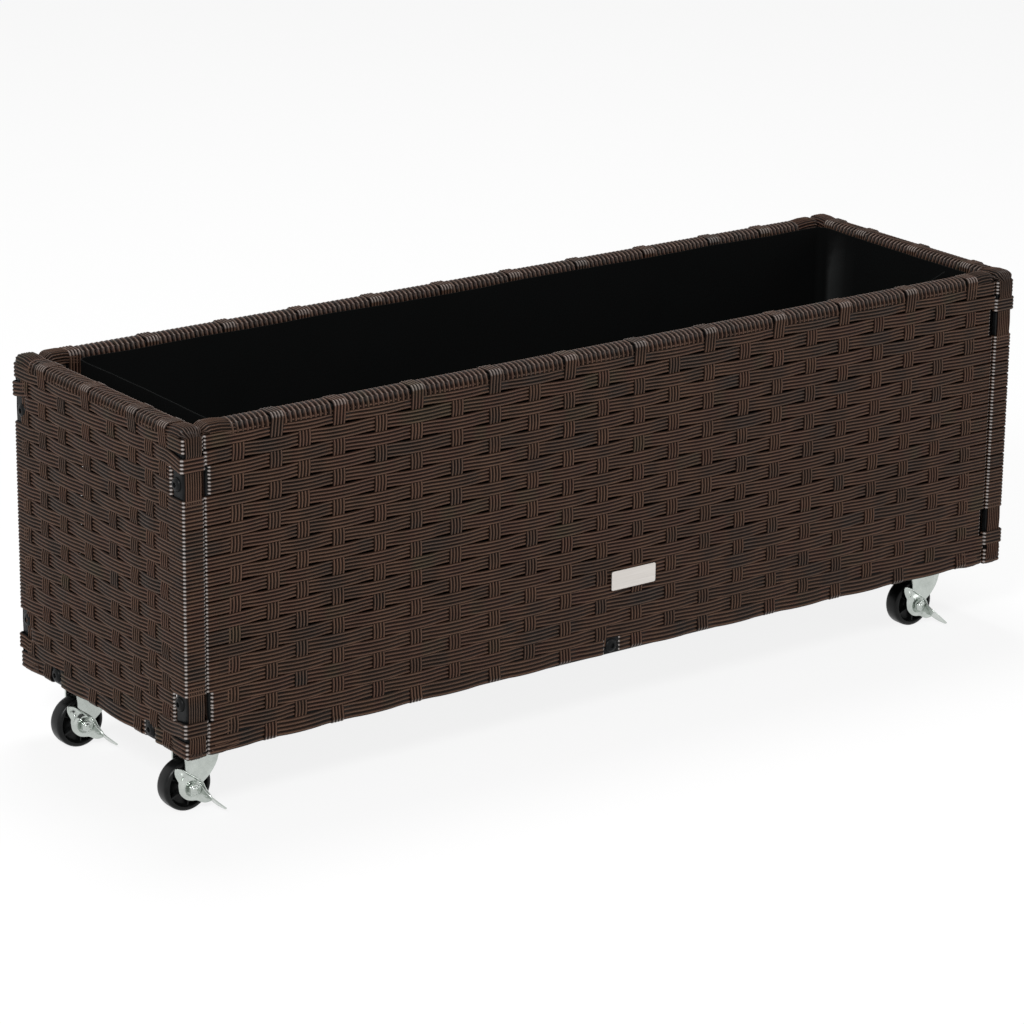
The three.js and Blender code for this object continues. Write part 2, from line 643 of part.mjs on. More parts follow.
function brakeLever() {
  const bore = barAlongY(AXLE_RADIUS + GAP, -LEVER_OUTSIDE - PAST, -LEVER_INSIDE + PAST, BOLT_SIDES);
  return toGeometry(
    barAlongY(LEVER_RADIUS, -LEVER_OUTSIDE, -LEVER_INSIDE, LEVER_SIDES)
      .add(leverArm(WING_REACH, WING_WIDTH, 180 - ARM_SLOPE))
      .add(leverArm(EAR_REACH, EAR_WIDTH, -ARM_SLOPE))
      .add(pedal())
      .subtract(bore),
  );
}

function caster(place) {
  const group = new THREE.Group();
  const onAxle = {
    wheel: mesh(`${place}_wheel`, wheel(), 'wheel'),
    axle: mesh(`${place}_axle`, axle(), 'zinc'),
    nut: mesh(`${place}_nut`, nut(), 'zinc'),
    brake: mesh(`${place}_brake`, brakeLever(), 'zinc'),
  };
  for (const piece of Object.values(onAxle)) {
    piece.position.set(-TRAIL, 0, WHEEL_RADIUS);
    group.add(piece);
  }
  group.add(mesh(`${place}_stem`, stem(), 'zinc'));
  group.add(mesh(`${place}_cup`, bearingCup(), 'zinc'));
  group.add(mesh(`${place}_fork`, fork(), 'zinc'));
  return group;
}

function stand(group, x, y, turn) {
  group.position.set(x, y, PANEL_BOTTOM);
  group.rotation.z = turn;
  return group;
}

const planter = new THREE.Group();

const front = longPanel('front', FRONT_BOLT_SHIFT);
front.add(badge());
planter.add(stand(front, 0, LONG_SETBACK - WIDTH / 2, 0));
planter.add(stand(longPanel('back', -FRONT_BOLT_SHIFT), 0, WIDTH / 2 - LONG_SETBACK, Math.PI));
planter.add(stand(endPanel('left'), -LENGTH / 2, 0, -Math.PI / 2));
planter.add(stand(endPanel('right'), LENGTH / 2, 0, Math.PI / 2));
planter.add(baseFrame());
planter.add(liner());

const CASTER_NAMES = ['front_left', 'front_right', 'back_left', 'back_right'];
swivelPlaces().forEach(([x, y], i) => {
  const group = caster(CASTER_NAMES[i]);
  group.position.set(x, y, 0);
  planter.add(group);
});

export default planter;
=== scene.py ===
import bmesh
import bpy
import json
import random
from math import cos, floor, pi, radians, sin, sqrt
from mathutils import Matrix, Vector, noise


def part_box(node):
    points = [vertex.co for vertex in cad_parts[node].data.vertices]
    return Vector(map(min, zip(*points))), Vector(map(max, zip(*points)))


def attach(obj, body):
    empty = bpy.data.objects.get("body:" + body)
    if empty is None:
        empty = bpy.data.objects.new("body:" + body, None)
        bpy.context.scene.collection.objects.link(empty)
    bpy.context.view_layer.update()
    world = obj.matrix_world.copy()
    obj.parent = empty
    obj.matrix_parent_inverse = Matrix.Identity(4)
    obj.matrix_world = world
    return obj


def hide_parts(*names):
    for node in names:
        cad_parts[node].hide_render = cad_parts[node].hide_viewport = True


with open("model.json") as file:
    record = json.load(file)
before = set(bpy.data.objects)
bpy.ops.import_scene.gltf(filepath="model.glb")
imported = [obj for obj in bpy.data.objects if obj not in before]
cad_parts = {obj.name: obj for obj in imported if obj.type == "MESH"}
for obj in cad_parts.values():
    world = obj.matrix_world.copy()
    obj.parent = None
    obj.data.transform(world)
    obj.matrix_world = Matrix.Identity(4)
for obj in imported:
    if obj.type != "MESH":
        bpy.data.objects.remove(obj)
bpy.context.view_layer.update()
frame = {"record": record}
millimetre = 0.001
outward, inward = Vector((0, -1, 0)), Vector((0, 1, 0))
leftward, rightward = Vector((-1, 0, 0)), Vector((1, 0, 0))
upward, downward = Vector((0, 0, 1)), Vector((0, 0, -1))
sideTurns = {"front": 0, "back": 180, "left": -90, "right": 90}    # about Z, from the front
# how far along a strip, the strip's own shade, 1 on top of a ridge, and 1 where it turns a corner
stripLayers = ("along", "tone", "crest", "bent")
print("frame loaded")


class Value:
    # a socket's value, so that shader maths reads as maths
    def __init__(self, finish, socket):
        self.finish = finish
        self.socket = socket

    def math(self, operation, first, second):
        return self.finish.node("ShaderNodeMath", {"operation": operation}, {0: first, 1: second})

    def __add__(self, other):
        return self.math("ADD", self, other)

    def __radd__(self, other):
        return self.math("ADD", other, self)

    def __sub__(self, other):
        return self.math("SUBTRACT", self, other)

    def __rsub__(self, other):
        return self.math("SUBTRACT", other, self)

    def __mul__(self, other):
        return self.math("MULTIPLY", self, other)

    def __rmul__(self, other):
        return self.math("MULTIPLY", other, self)


class Finish:
    # the nodes of a material or of the world
    def __init__(self, owner):
        owner.use_nodes = True
        self.material = owner
        self.tree = owner.node_tree
        self.surface = self.tree.nodes.get("Principled BSDF")

    def feed(self, socket, value):
        if isinstance(value, Value):
            self.tree.links.new(value.socket, socket)
        else:
            socket.default_value = value

    def node(self, kind, settings, inputs, output=0):
        made = self.tree.nodes.new(kind)
        for name, setting in settings.items():
            if name == "stops":
                ramp = made.color_ramp
                while len(ramp.elements) < len(setting):
                    ramp.elements.new(0.5)
                for element, (place, colour) in zip(ramp.elements, setting):
                    element.position = place
                    element.color = (*colour, 1)
            else:
                setattr(made, name, setting)
        for name, value in inputs.items():
            self.feed(made.inputs[name], value)
        return Value(self, made.outputs[output])

    def place(self):
        return self.node("ShaderNodeTexCoord", {}, {}, "Object")

    def attribute(self, name):
        return self.node("ShaderNodeAttribute", {"attribute_name": name}, {}, "Fac")

    def vector(self, x, y, z):
        return self.node("ShaderNodeCombineXYZ", {}, {0: x, 1: y, 2: z})

    def stretched(self, scale):
        return self.node("ShaderNodeMapping", {}, {"Vector": self.place(), "Scale": scale})

    def noise(self, vector, scale, detail=3.0, roughness=0.5):
        return self.node("ShaderNodeTexNoise", {}, {
            "Vector": vector, "Scale": scale, "Detail": detail, "Roughness": roughness,
        })

    def ramp(self, value, stops):
        return self.node("ShaderNodeValToRGB", {"stops": stops}, {"Fac": value})

    def mixed(self, factor, first, second, blend="MIX"):
        return self.node("ShaderNodeMix", {"data_type": "RGBA", "blend_type": blend}, {
            0: factor, 6: first, 7: second,
        }, 2)

    def span(self, value, low, high):
        return self.node("ShaderNodeMapRange", {}, {"Value": value, "To Min": low, "To Max": high})

    def bump(self, height, distance, strength=1.0):
        return self.node("ShaderNodeBump", {}, {
            "Height": height, "Distance": distance, "Strength": strength,
        })

    def dress(self, **inputs):
        for name, value in inputs.items():
            self.feed(self.surface.inputs[name.replace("_", " ")], value)
        return self.material


def wickerFinish():
    # streaked along each strip, with painted shade between its ridges, a painted highlight along
    # their crests, and a painted highlight where it turns a corner
    finish = Finish(bpy.data.materials.new("wicker"))
    along, tone, crest, bent = (finish.attribute(name) for name in stripLayers)
    shade = finish.noise(finish.vector(along * 20, tone * 37, tone * 91), 1.0, 2.0, 0.6)
    body = finish.ramp(shade, [
        (0.28, (0.027, 0.021, 0.018)),
        (0.40, (0.036, 0.021, 0.015)),
        (0.50, (0.058, 0.031, 0.020)),
        (0.60, (0.050, 0.024, 0.017)),
        (0.72, (0.042, 0.032, 0.019)),
    ])
    grain = finish.noise(finish.vector(along * 60, tone * 53, crest * 1.5), 1.0, 4.0, 0.6)
    speck = finish.noise(finish.place(), 900.0, 2.0)
    grained = finish.mixed(0.7, body, finish.ramp(grain, [
        (0.3, (0.56, 0.55, 0.55)), (0.7, (1.15, 1.15, 1.15)),
    ]), "MULTIPLY")
    # painted shade in the grooves between the ridges and a painted highlight along each crest, read
    # off the crest layer
    grooveShadeCrestHighlight = finish.ramp(crest, [
        (0.0, (0.03, 0.028, 0.028)), (0.6, (0.36, 0.34, 0.34)), (0.86, (1.0, 1.0, 1.0)),
        (1.0, (2.0, 2.0, 2.0)),
    ])
    line, edge = crest * crest * crest, crest * crest * bent
    ridged = finish.mixed(1.0, grained, grooveShadeCrestHighlight, "MULTIPLY")
    # a paler grey-brown painted highlight along the very tops of the crests
    crestHighlighted = finish.mixed(line * line * line * 0.75, ridged, (0.130, 0.080, 0.056, 1))
    return finish.dress(
        # a painted highlight on the ridge tops where a strip turns a corner
        Base_Color=finish.mixed(edge * edge * 0.85, crestHighlighted, (0.50, 0.47, 0.45, 1)),
        Roughness=finish.span(grain, 0.30, 0.50),
        Normal=finish.bump(speck, 0.00006, 0.5),
        Specular_IOR_Level=0.06,
    )


def powderCoatFinish():
    finish = Finish(bpy.data.materials.new("black powder coat"))
    peel = finish.noise(finish.place(), 1400.0, 2.0)
    wear = finish.noise(finish.place(), 45.0, 5.0, 0.65)
    return finish.dress(
        Base_Color=finish.ramp(wear, [
            (0.35, (0.003, 0.0032, 0.0034)), (0.75, (0.008, 0.0083, 0.0086)),
        ]),
        Roughness=finish.span(wear, 0.30, 0.48),
        Normal=finish.bump(peel, 0.00008, 0.4),
        Specular_IOR_Level=0.1,
    )


def feltFinish():
    finish = Finish(bpy.data.materials.new("black felt"))
    fibres = finish.noise(finish.stretched((1.0, 1.0, 2.2)), 700.0, 4.0, 0.7)
    clouds = finish.noise(finish.place(), 24.0, 3.0)
    press = finish.node("ShaderNodeTexVoronoi", {}, {"Vector": finish.place(), "Scale": 420.0})
    tint = finish.mixed(fibres, (0.0022, 0.0024, 0.0024, 1), (0.0065, 0.0070, 0.0070, 1))
    clouded = finish.mixed(clouds, tint, (0.0034, 0.0036, 0.0036, 1))
    # a painted sheen along the fold in the right end, lighter than the felt
    creased = finish.attribute("creased")
    return finish.dress(
        Base_Color=finish.mixed(creased * 0.8, clouded, (0.026, 0.027, 0.027, 1)),
        Roughness=finish.span(fibres, 0.84, 0.98),
        Normal=finish.bump(press * 0.6 + fibres, 0.0002, 0.5),
        Specular_IOR_Level=0.03,
    )


def zincFinish():
    finish = Finish(bpy.data.materials.new("bright zinc"))
    haze = finish.noise(finish.place(), 90.0, 4.0, 0.6)
    fine = finish.noise(finish.stretched((1.0, 1.0, 6.0)), 900.0, 3.0)
    return finish.dress(
        Base_Color=finish.ramp(haze, [(0.3, (0.45, 0.485, 0.455)), (0.7, (0.57, 0.61, 0.575))]),
        Metallic=0.95,
        Roughness=finish.span(haze * 0.7 + fine * 0.3, 0.12, 0.34),
        Normal=finish.bump(fine, 0.00004, 0.3),
    )


def wheelFinish():
    finish = Finish(bpy.data.materials.new("black caster plastic"))
    scuffs = finish.noise(finish.place(), 160.0, 6.0, 0.7)
    return finish.dress(
        Base_Color=finish.ramp(scuffs, [
            (0.4, (0.003, 0.0032, 0.0032)), (0.8, (0.010, 0.011, 0.011)),
        ]),
        Roughness=finish.span(scuffs, 0.22, 0.44),
        Normal=finish.bump(scuffs, 0.00005, 0.3),
        Specular_IOR_Level=0.18,
    )


def badgeFinish():
    finish = Finish(bpy.data.materials.new("brushed badge"))
    lines = finish.noise(finish.stretched((8.0, 1.0, 900.0)), 3.0, 3.0)
    return finish.dress(
        Base_Color=finish.ramp(lines, [(0.3, (0.60, 0.565, 0.53)), (0.7, (0.68, 0.645, 0.61))]),
        Metallic=0.85,
        Roughness=finish.span(lines, 0.28, 0.42),
        Normal=finish.bump(lines, 0.00003, 0.4),
    )


finishes = {
    "weave": wickerFinish(),
    "black_steel": powderCoatFinish(),
    "liner": feltFinish(),
    "zinc": zincFinish(),
    "caster_wheel": wheelFinish(),
    "badge": badgeFinish(),
}
slotOfNode = {part["node"]: part["material_slot"] for part in frame["record"]["subparts"]}
for node, slotName in slotOfNode.items():
    cadPiece = bpy.data.objects[node]
    for materialSlot in cadPiece.material_slots:
        materialSlot.material = finishes[slotName]
print("finishes made")


def finished(shape, name, slotName, body, smoothAngle=40):
    # turns a bmesh in metres into an object that rides on its body
    mesh = bpy.data.meshes.new(name)
    shape.to_mesh(mesh)
    shape.free()
    mesh.shade_smooth()
    mesh.set_sharp_from_angle(angle=radians(smoothAngle))
    mesh.materials.append(finishes[slotName])
    piece = bpy.data.objects.new(name, mesh)
    bpy.context.scene.collection.objects.link(piece)
    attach(piece, body)
    return piece


def rounded(shape, edges, width, segments=2):
    bmesh.ops.bevel(
        shape, geom=edges, offset=width, affect="EDGES", segments=segments, profile=0.5,
        material=-1,
    )


def sharpEdges(shape, degrees):
    limit = radians(degrees)
    return [edge for edge in shape.edges if edge.is_manifold and edge.calc_face_angle() > limit]


def madeThick(shape, thickness, rounding):
    # gives a sheet its thickness and breaks its edges
    bmesh.ops.solidify(shape, geom=shape.faces, thickness=thickness)
    bmesh.ops.recalc_face_normals(shape, faces=shape.faces)
    rounded(shape, sharpEdges(shape, 60), rounding)
    return shape


def moved(shape, matrix):
    bmesh.ops.transform(shape, matrix=matrix, verts=shape.verts)
    return shape


def joined(target, shape):
    # adds one bmesh to another
    mesh = bpy.data.meshes.new("joined")
    shape.to_mesh(mesh)
    shape.free()
    target.from_mesh(mesh)
    bpy.data.meshes.remove(mesh)


def between(points, value):
    # a value read off a line through a few points
    for (x0, y0), (x1, y1) in zip(points, points[1:]):
        if x0 <= value <= x1:
            return y0 + (y1 - y0) * (value - x0) / (x1 - x0)
    return points[0][1] if value < points[0][0] else points[-1][1]


def eased(value):
    value = min(max(value, 0), 1)
    return value * value * (3 - 2 * value)


def boxOf(node):
    low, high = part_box(node)
    return Vector(low) / millimetre, Vector(high) / millimetre


def turnedShape(profile, steps):
    # a profile of radius and place along Y, turned round the Y axis
    shape = bmesh.new()
    points = [shape.verts.new((radius, y, 0)) for radius, y in profile]
    edges = [shape.edges.new(pair) for pair in zip(points, points[1:])]
    bmesh.ops.spin(
        shape, geom=points + edges, axis=(0, 1, 0), cent=(0, 0, 0), angle=2 * pi,
        steps=steps, use_merge=True,
    )
    bmesh.ops.remove_doubles(shape, verts=shape.verts, dist=0.0005)
    bmesh.ops.recalc_face_normals(shape, faces=shape.faces)
    return shape


# Woven panels, in millimetres: along X, outer face at y = 0, foot at z = 0.
weaving = {
    "rows": 21,
    "rowPitch": 11.5,
    "lowestRow": 9.4,        # middle of the bottom row
    "openFrom": 15,          # the row from which the liner isn't behind the weave
    "closeWeft": 12.2,       # and how wide the wefts are there
    "edgeWeft": 13.2,        # the bottom row is wider
    "edgeRow": 8.0,          # and this high
    "stakeWidth": 11.2,
    "ridges": 4,
    "thickness": 1.4,
    "groove": 0.75,          # depth between two ridges
    "edgeShare": 0.4,        # height of a strip's edges, as a share of its grooves
    "backPoints": (0.5, 0.18, -0.18, -0.5),      # across its flat back, in widths
    "stepsPerRidge": 4,
    "nesting": 0.6,          # how far what passes in front sinks between what passes behind
    "swingPower": 0.7,       # below 1 a weft keeps longer to the front or the back
    "weftStep": 5.6,         # between two places along a weft
    "sag": 0.22,             # of a weft where it passes in front of a stake
    "drift": 0.3,            # of a weft, up and down
    "driftLength": 80,
    "weftTail": 2,           # how far a weft stops short of the tube's inner edge at the back
    "wrapRadius": 1.1,       # of a weft round the end of a panel
    "wrapSteps": 3,
    "paintedGlintTurn": radians(30),  # the turn in a millimetre at which a corner gets its full painted highlight
    "stepsPerRow": 4,        # of a stake
    "shift": 0.8,            # of a stake from its place, at most
    "lean": 1.2,             # and of its two ends from there, against each other
    "wander": 0.6,           # of a stake, sideways
    "wanderLength": 30,
    "loopRadius": 3.2,       # of a stake over a rail
    "loopRise": 0.45,        # and how far it stands out there, in thicknesses
    "notchRows": (2, 3, 17, 18),
    "crossingRows": (1, 19),     # they pass over the strip that runs down the end
    "crossingReach": 26,
    "crossingRise": 0.6,     # how far out they pass, in thicknesses
    "crossingWrap": 0.4,     # and round the end
    "bowedRows": 3,          # how many of the lowest rows rise towards the middle
    "lift": 1.2,             # of what goes round the bottom rail
}
panelThickness = boxOf("front_weave")[1].y - boxOf("front_weave")[0].y
panelHeight = boxOf("front_weave")[1].z - boxOf("front_weave")[0].z
panelFoot = boxOf("front_weave")[0].z
tubeDepth = boxOf("front_frame")[0].y - boxOf("front_weave")[0].y
tubeSize = boxOf("front_frame")[1].y - boxOf("front_frame")[0].y
# the depth of a strip's foot, halfway between front and back, and in front
midDepth = 2 * weaving["thickness"] - weaving["nesting"]
wrapFoot = midDepth - weaving["thickness"] / 2
wrapBack = panelThickness - wrapFoot


def ridgeLine(ridges, steps):
    # across a strip: from 0 to 1, height, and 1 on a crest
    count = ridges * steps
    line = []
    for i in range(count + 1):
        crest = abs(sin(pi * ridges * i / count))
        line.append((i / count, weaving["thickness"] - weaving["groove"] * (1 - crest), crest))
    return line


def ridgedSection(width, ridges, steps):
    # sideways, height and crest, with lower edges and a flat back
    points = []
    for share, height, crest in ridgeLine(ridges, steps):
        height *= 1 if 0 < share < 1 else weaving["edgeShare"]
        points.append(((share - 0.5) * width, height, crest))
    return points + [(width * side, 0, 0) for side in weaving["backPoints"]]


def archedSection(width, ridges, steps, radius, leg):
    # the same, but bent down at both sides to go round a rail
    top = width / 2 - radius
    quarter = radius * pi / 2
    half = top + quarter + leg

    def bent(s, height):
        side = 1 if s > 0 else -1
        past = abs(s) - top
        if past <= 0:
            return s, height
        if past < quarter:
            angle, reach = past / radius, radius + height
            return side * (top + reach * sin(angle)), reach * cos(angle) - radius
        return side * (top + radius + height), -radius - (past - quarter)

    points = [
        (*bent((share * 2 - 1) * half, height), crest)
        for share, height, crest in ridgeLine(ridges, steps)
    ]
    return points + [(*bent(s, 0), 0) for s in (half, top, -top, -half)]


def blended(first, second, amount):
    return [
        tuple(a + (b - a) * amount for a, b in zip(one, other)) for one, other in zip(first, second)
    ]


def strip(target, route, section, tone, sections=None):
    # wraps a grid round the section and lays it along the route, a list of places and normals
    shape = bmesh.new()
    layers = [shape.verts.layers.float.new(name) for name in stripLayers]
    bmesh.ops.create_grid(shape, x_segments=len(route) - 1, y_segments=len(section), size=0.5)
    travelled = [0.0]
    for (before, _), (after, _) in zip(route, route[1:]):
        travelled.append(travelled[-1] + (after - before).length)
    across, bent = [], []
    for i, (place, normal) in enumerate(route):
        before, after = route[max(i - 1, 0)], route[min(i + 1, len(route) - 1)]
        across.append(normal.cross(after[0] - before[0]).normalized())
        turning = min(
            normal.angle(other[1]) / max((place - other[0]).length, 0.1)
            for other in (before, after)
        )
        bent.append(min(turning / weaving["paintedGlintTurn"], 1))
    for vert in shape.verts:
        i = round((vert.co.x + 0.5) * (len(route) - 1))
        here = sections[i] if sections else section
        sideways, height, crest = here[round((vert.co.y + 0.5) * len(section)) % len(section)]
        place, normal = route[i]
        vert.co = place + across[i] * sideways + normal * height
        for layer, value in zip(layers, (travelled[i] * millimetre, tone, crest, bent[i])):
            vert[layer] = value
    seam = [vert for vert in shape.verts if vert.is_boundary]
    bmesh.ops.remove_doubles(shape, verts=seam, dist=0.001)
    bmesh.ops.holes_fill(shape, edges=[edge for edge in shape.edges if edge.is_boundary])
    bmesh.ops.recalc_face_normals(shape, faces=shape.faces)
    joined(target, shape)


def bend(centre, radius, start, end, plane, steps=5):
    # places and outward normals round an arc; plane gives the two directions that it turns between
    points = []
    for i in range(steps + 1):
        angle = radians(start + (end - start) * i / steps)
        normal = plane[0] * cos(angle) + plane[1] * sin(angle)
        points.append((centre + normal * radius, normal))
    return points


def overRail(front, back, radius, normal, low, steps=5):
    # from the front of a rail over to its back and on to the height low
    route = bend(front, radius, 0, 90, (outward, normal), steps)
    route += bend(back, radius, 90, 0, (inward, normal), steps)
    return route + [(Vector((back.x, wrapBack, low)), inward)]


def stakePlaces(panel):
    # where each stake stands, at the top and at the foot: hand weaving isn't quite even
    places = []
    for k, x in enumerate(panel["stakes"]):
        shift = panel["random"].uniform(-weaving["shift"], weaving["shift"])
        lean = panel["random"].uniform(-weaving["lean"], weaving["lean"])
        lean += between(panel["leans"], k)
        places.append((x + shift + lean, x + shift - lean))
    return places


def stakeAt(panel, k, z):
    top, foot = panel["places"][k]
    return foot + (top - foot) * z / panelHeight


def rowHeight(row):
    if row == weaving["rows"] - 1:
        return weaving["edgeRow"]
    return weaving["lowestRow"] + (weaving["rows"] - 1 - row) * weaving["rowPitch"]


def bowed(panel, x, z):
    # the lowest rows rise towards the middle of the panel
    share = max(1 - z / (weaving["bowedRows"] * weaving["rowPitch"]), 0)
    return z + panel["bow"] * share * cos(pi * x / panel["half"] / 2) ** 2


def inFront(k, row):
    # whether the weft passes in front of this stake
    return 1 if (k + row) % 2 == 0 else -1


def weftSwing(panel, x, row, z):
    # 1 in front of the stakes, -1 behind them, over the side tubes always in front
    knots = [(tubeDepth + tubeSize - panel["half"], 1)]
    knots += [(stakeAt(panel, k, z), inFront(k, row)) for k in range(len(panel["stakes"]))]
    knots += [(panel["half"] - tubeDepth - tubeSize, 1)]
    for (x0, side0), (x1, side1) in zip(knots, knots[1:]):
        if x0 <= x <= x1:
            wave = cos(pi * (x - x0) / (x1 - x0))
            swing = abs(wave) ** weaving["swingPower"] * (1 if wave > 0 else -1)
            return (side0 + side1) / 2 + (side0 - side1) / 2 * swing
    return 1


def weftSpans(panel, row):
    # from where to where a weft runs, and whether it goes round the panel there
    edge = panel["half"] - wrapFoot
    if row in weaving["notchRows"]:
        edge = panel["half"] - panel["notchReach"]
        return [(-edge, edge, False, False)]
    if row < weaving["rows"] - 1:
        return [(-edge, edge, True, True)]
    stops = [-edge]
    for place in panel["footBolts"]:
        stops += [place - panel["footReach"], place + panel["footReach"]]
    stops.append(edge)
    pairs = list(zip(stops[::2], stops[1::2]))
    return [(low, high, low == -edge, high == edge) for low, high in pairs]


def weftRoute(panel, row, tone, span):
    low, high, wrapsLow, wrapsHigh = span
    z = rowHeight(row)
    radius, steps, reach = (weaving[name] for name in ("wrapRadius", "wrapSteps", "crossingReach"))
    count = max(round((high - low) / weaving["weftStep"]), 6)
    crossing = row in weaving["crossingRows"]
    sink = panel["droop"] * (1 if row > weaving["rows"] / 2 else -1)
    middle = []
    for i in range(count + 1):
        x = low + radius + (high - low - 2 * radius) * i / count
        swing = weftSwing(panel, x, row, z)
        spot = Vector((x / weaving["driftLength"], row * 3.1, tone * 7))
        depth = midDepth - weaving["thickness"] / 2 * swing
        height = bowed(panel, x, z) - weaving["sag"] * swing + weaving["drift"] * noise.noise(spot)
        if crossing:
            near = eased((abs(x) - panel["half"] + reach) / reach)
            depth -= near * weaving["thickness"] * weaving["crossingRise"]
            height += near * sink
        middle.append((Vector((x, depth, height)), outward))
    route = middle[1:-1]
    for end, place, wraps in ((-1, middle[0][0], wrapsLow), (1, middle[-1][0], wrapsHigh)):
        away = leftward if end < 0 else rightward
        turn = bend(place + inward * radius, radius, 90, 0, (away, outward), steps)
        if wraps:
            back = panelThickness - place.y - radius
            corner = Vector((place.x, back, place.z))
            turn += bend(corner, radius, 0, 90, (away, inward), steps)
            tail = place.x - end * (tubeSize - weaving["weftTail"])
            turn.append((Vector((tail, back + radius, place.z)), inward))
        if crossing:
            rise = weaving["crossingWrap"]
            turn = [(spot + normal * weaving["thickness"] * rise, normal) for spot, normal in turn]
        route = route + turn if end > 0 else turn[::-1] + route
    return route


def stakeRoute(panel, k):
    # up the window, in front of one row and behind the next, and over both rails if it meets them
    radius, steps = weaving["loopRadius"], weaving["stepsPerRow"]
    rise = weaving["thickness"] * weaving["loopRise"]
    points = []
    last = weaving["rows"] - 1
    low, high = rowHeight(last), rowHeight(0)
    for i in range(last * steps + 1):
        z = low + (high - low) * i / (last * steps)
        row = last - i / steps
        before, after = floor(row), min(floor(row) + 1, last)
        wave = cos(pi * (row - before))
        side = -inFront(k, before) * (1 + wave) / 2 - inFront(k, after) * (1 - wave) / 2
        spot = Vector((k * 5.3, z / weaving["wanderLength"], panel["seed"]))
        x = stakeAt(panel, k, z) + weaving["wander"] * noise.noise(spot)
        depth = midDepth - weaving["thickness"] / 2 * side
        points.append((Vector((x, depth, bowed(panel, x, z))), outward))

    def loop(x, z, normal, low):
        front = Vector((x, wrapFoot + radius - rise, z))
        return overRail(front, Vector((x, wrapBack - radius, z)), radius, normal, low)

    if inFront(k, 0) < 0:
        x = stakeAt(panel, k, panelHeight)
        z = panelHeight - wrapFoot - radius + rise
        points += loop(x, z, upward, panelHeight - panelThickness)
    if inFront(k, last) < 0:
        x = stakeAt(panel, k, 0)
        z = bowed(panel, x, wrapFoot + radius - rise) + weaving["lift"]
        points = loop(x, z, downward, panelThickness)[::-1] + points
    return points


railing = {
    "ribPitch": 4.3,
    "ribHeight": 1.95,
    "ribProfile": [(-0.5, 0, 0), (-0.28, 0.78, 0.45), (0, 1, 1), (0.28, 0.78, 0.45), (0.5, 0, 0)],
    "ribLean": 0.6,          # along the rail, from the front to the back
    "topFace": 0.3,          # the ribs' front, behind the feet of the strips in front
    "bottomFace": 2.8,       # the same at the bottom, where they stand behind the lowest row
    "footDrop": 3,           # how far a rib runs down the front
    "cornerRadius": 4.2,
    "cover": 23.0,           # length of the strip that covers each end of a rail
    "coverLap": 4,           # and how far it starts under the ribs
    "coverRidges": 7,
    "coverDrop": 4.0,        # how far it hangs down the sides
    "tail": 14.0,            # its width, down the end of the panel
    "narrowing": (6, 5),     # it narrows to that from this step on, over so many steps
    "bulge": 1.1,
    "endRadius": 6.0,
    "endSteps": 7,
    "seat": 0.6,             # how deep it starts
    "tuckAbove": 7.5,        # where it turns in over the crossing row
    "tuck": 3.5,             # and how far it keeps in on both sides of the row's middle
    "swell": 0.5,            # how far it stands out in the notch
    "lastRows": (4, 16),     # the rows behind which it stops, under and over the notches
}


def ribSection(width):
    height = railing["ribHeight"]
    return [(side * width, rise * height, crest) for side, rise, crest in railing["ribProfile"]]


def ribPlaces(panel, top):
    # evenly between the stakes that loop over the rail: the middle and width of each rib
    row, z = (0, panelHeight) if top else (weaving["rows"] - 1, 0)
    reach = panel["half"] - railing["cover"]
    loops = [stakeAt(panel, k, z) for k in range(len(panel["stakes"])) if inFront(k, row) < 0]
    loops = [x for x in loops if abs(x) < reach]
    starts = [-reach] + [x + weaving["stakeWidth"] / 2 for x in loops]
    stops = [x - weaving["stakeWidth"] / 2 for x in loops] + [reach]
    places = []
    for start, stop in zip(starts, stops):
        count = max(round((stop - start) / railing["ribPitch"]), 1)
        pitch = (stop - start) / count
        places += [(start + pitch * (i + 0.5), pitch) for i in range(count)]
    return places


def ribRoute(panel, x, top):
    # over a rail from the front to the back
    normal = upward if top else downward
    edge = panelHeight if top else bowed(panel, x, 0) + weaving["lift"]
    radius, lean = railing["cornerRadius"], railing["ribLean"]
    face = wrapFoot + railing["topFace" if top else "bottomFace"]
    z = edge - normal.z * (wrapFoot + radius)
    front = Vector((x - lean, face + radius, z))
    back = Vector((x + lean, wrapBack - radius, z))
    foot = Vector((x - lean, face, z - normal.z * railing["footDrop"]))
    over = overRail(front, back, radius, normal, edge - normal.z * panelThickness, 2)
    return [(foot, outward)] + over


def endRoute(panel, side, top):
    # along the rail's end and down over its edge,
    # then under the crossing row and on to the far end of the notch
    sideways, normal = Vector((side, 0, 0)), upward if top else downward
    edge = panelHeight if top else 0
    y = panelThickness / 2
    radius, raised, seat = (railing[name] for name in ("endRadius", "bulge", "seat"))
    x = panel["half"] - wrapFoot - radius + raised
    z = edge - normal.z * (wrapFoot + radius - raised)
    start = edge - normal.z * (wrapFoot + seat)
    inner = panel["half"] - railing["cover"]
    along = [
        (inner - railing["coverLap"], start),
        (inner, start + normal.z * seat),
        ((inner + x) / 2, start + normal.z * (seat + raised)),
    ]
    crossing = rowHeight(weaving["crossingRows"][0 if top else 1]) - normal.z * panel["droop"]
    sunk = panel["half"] - tubeDepth
    notchEnd = rowHeight(railing["lastRows"][0 if top else 1])
    down = [
        (x + radius, crossing + normal.z * railing["tuckAbove"]),
        (sunk, crossing + normal.z * railing["tuck"]),
        (sunk, crossing - normal.z * railing["tuck"]),
        (sunk + railing["swell"], (crossing + notchEnd) / 2),
        (sunk, notchEnd),
    ]
    route = [(Vector((side * place, y, height)), normal) for place, height in along]
    corner = Vector((side * x, y, z))
    route += bend(corner, radius, 90, 0, (sideways, normal), railing["endSteps"])
    return route + [(Vector((side * place, y, height)), sideways) for place, height in down]


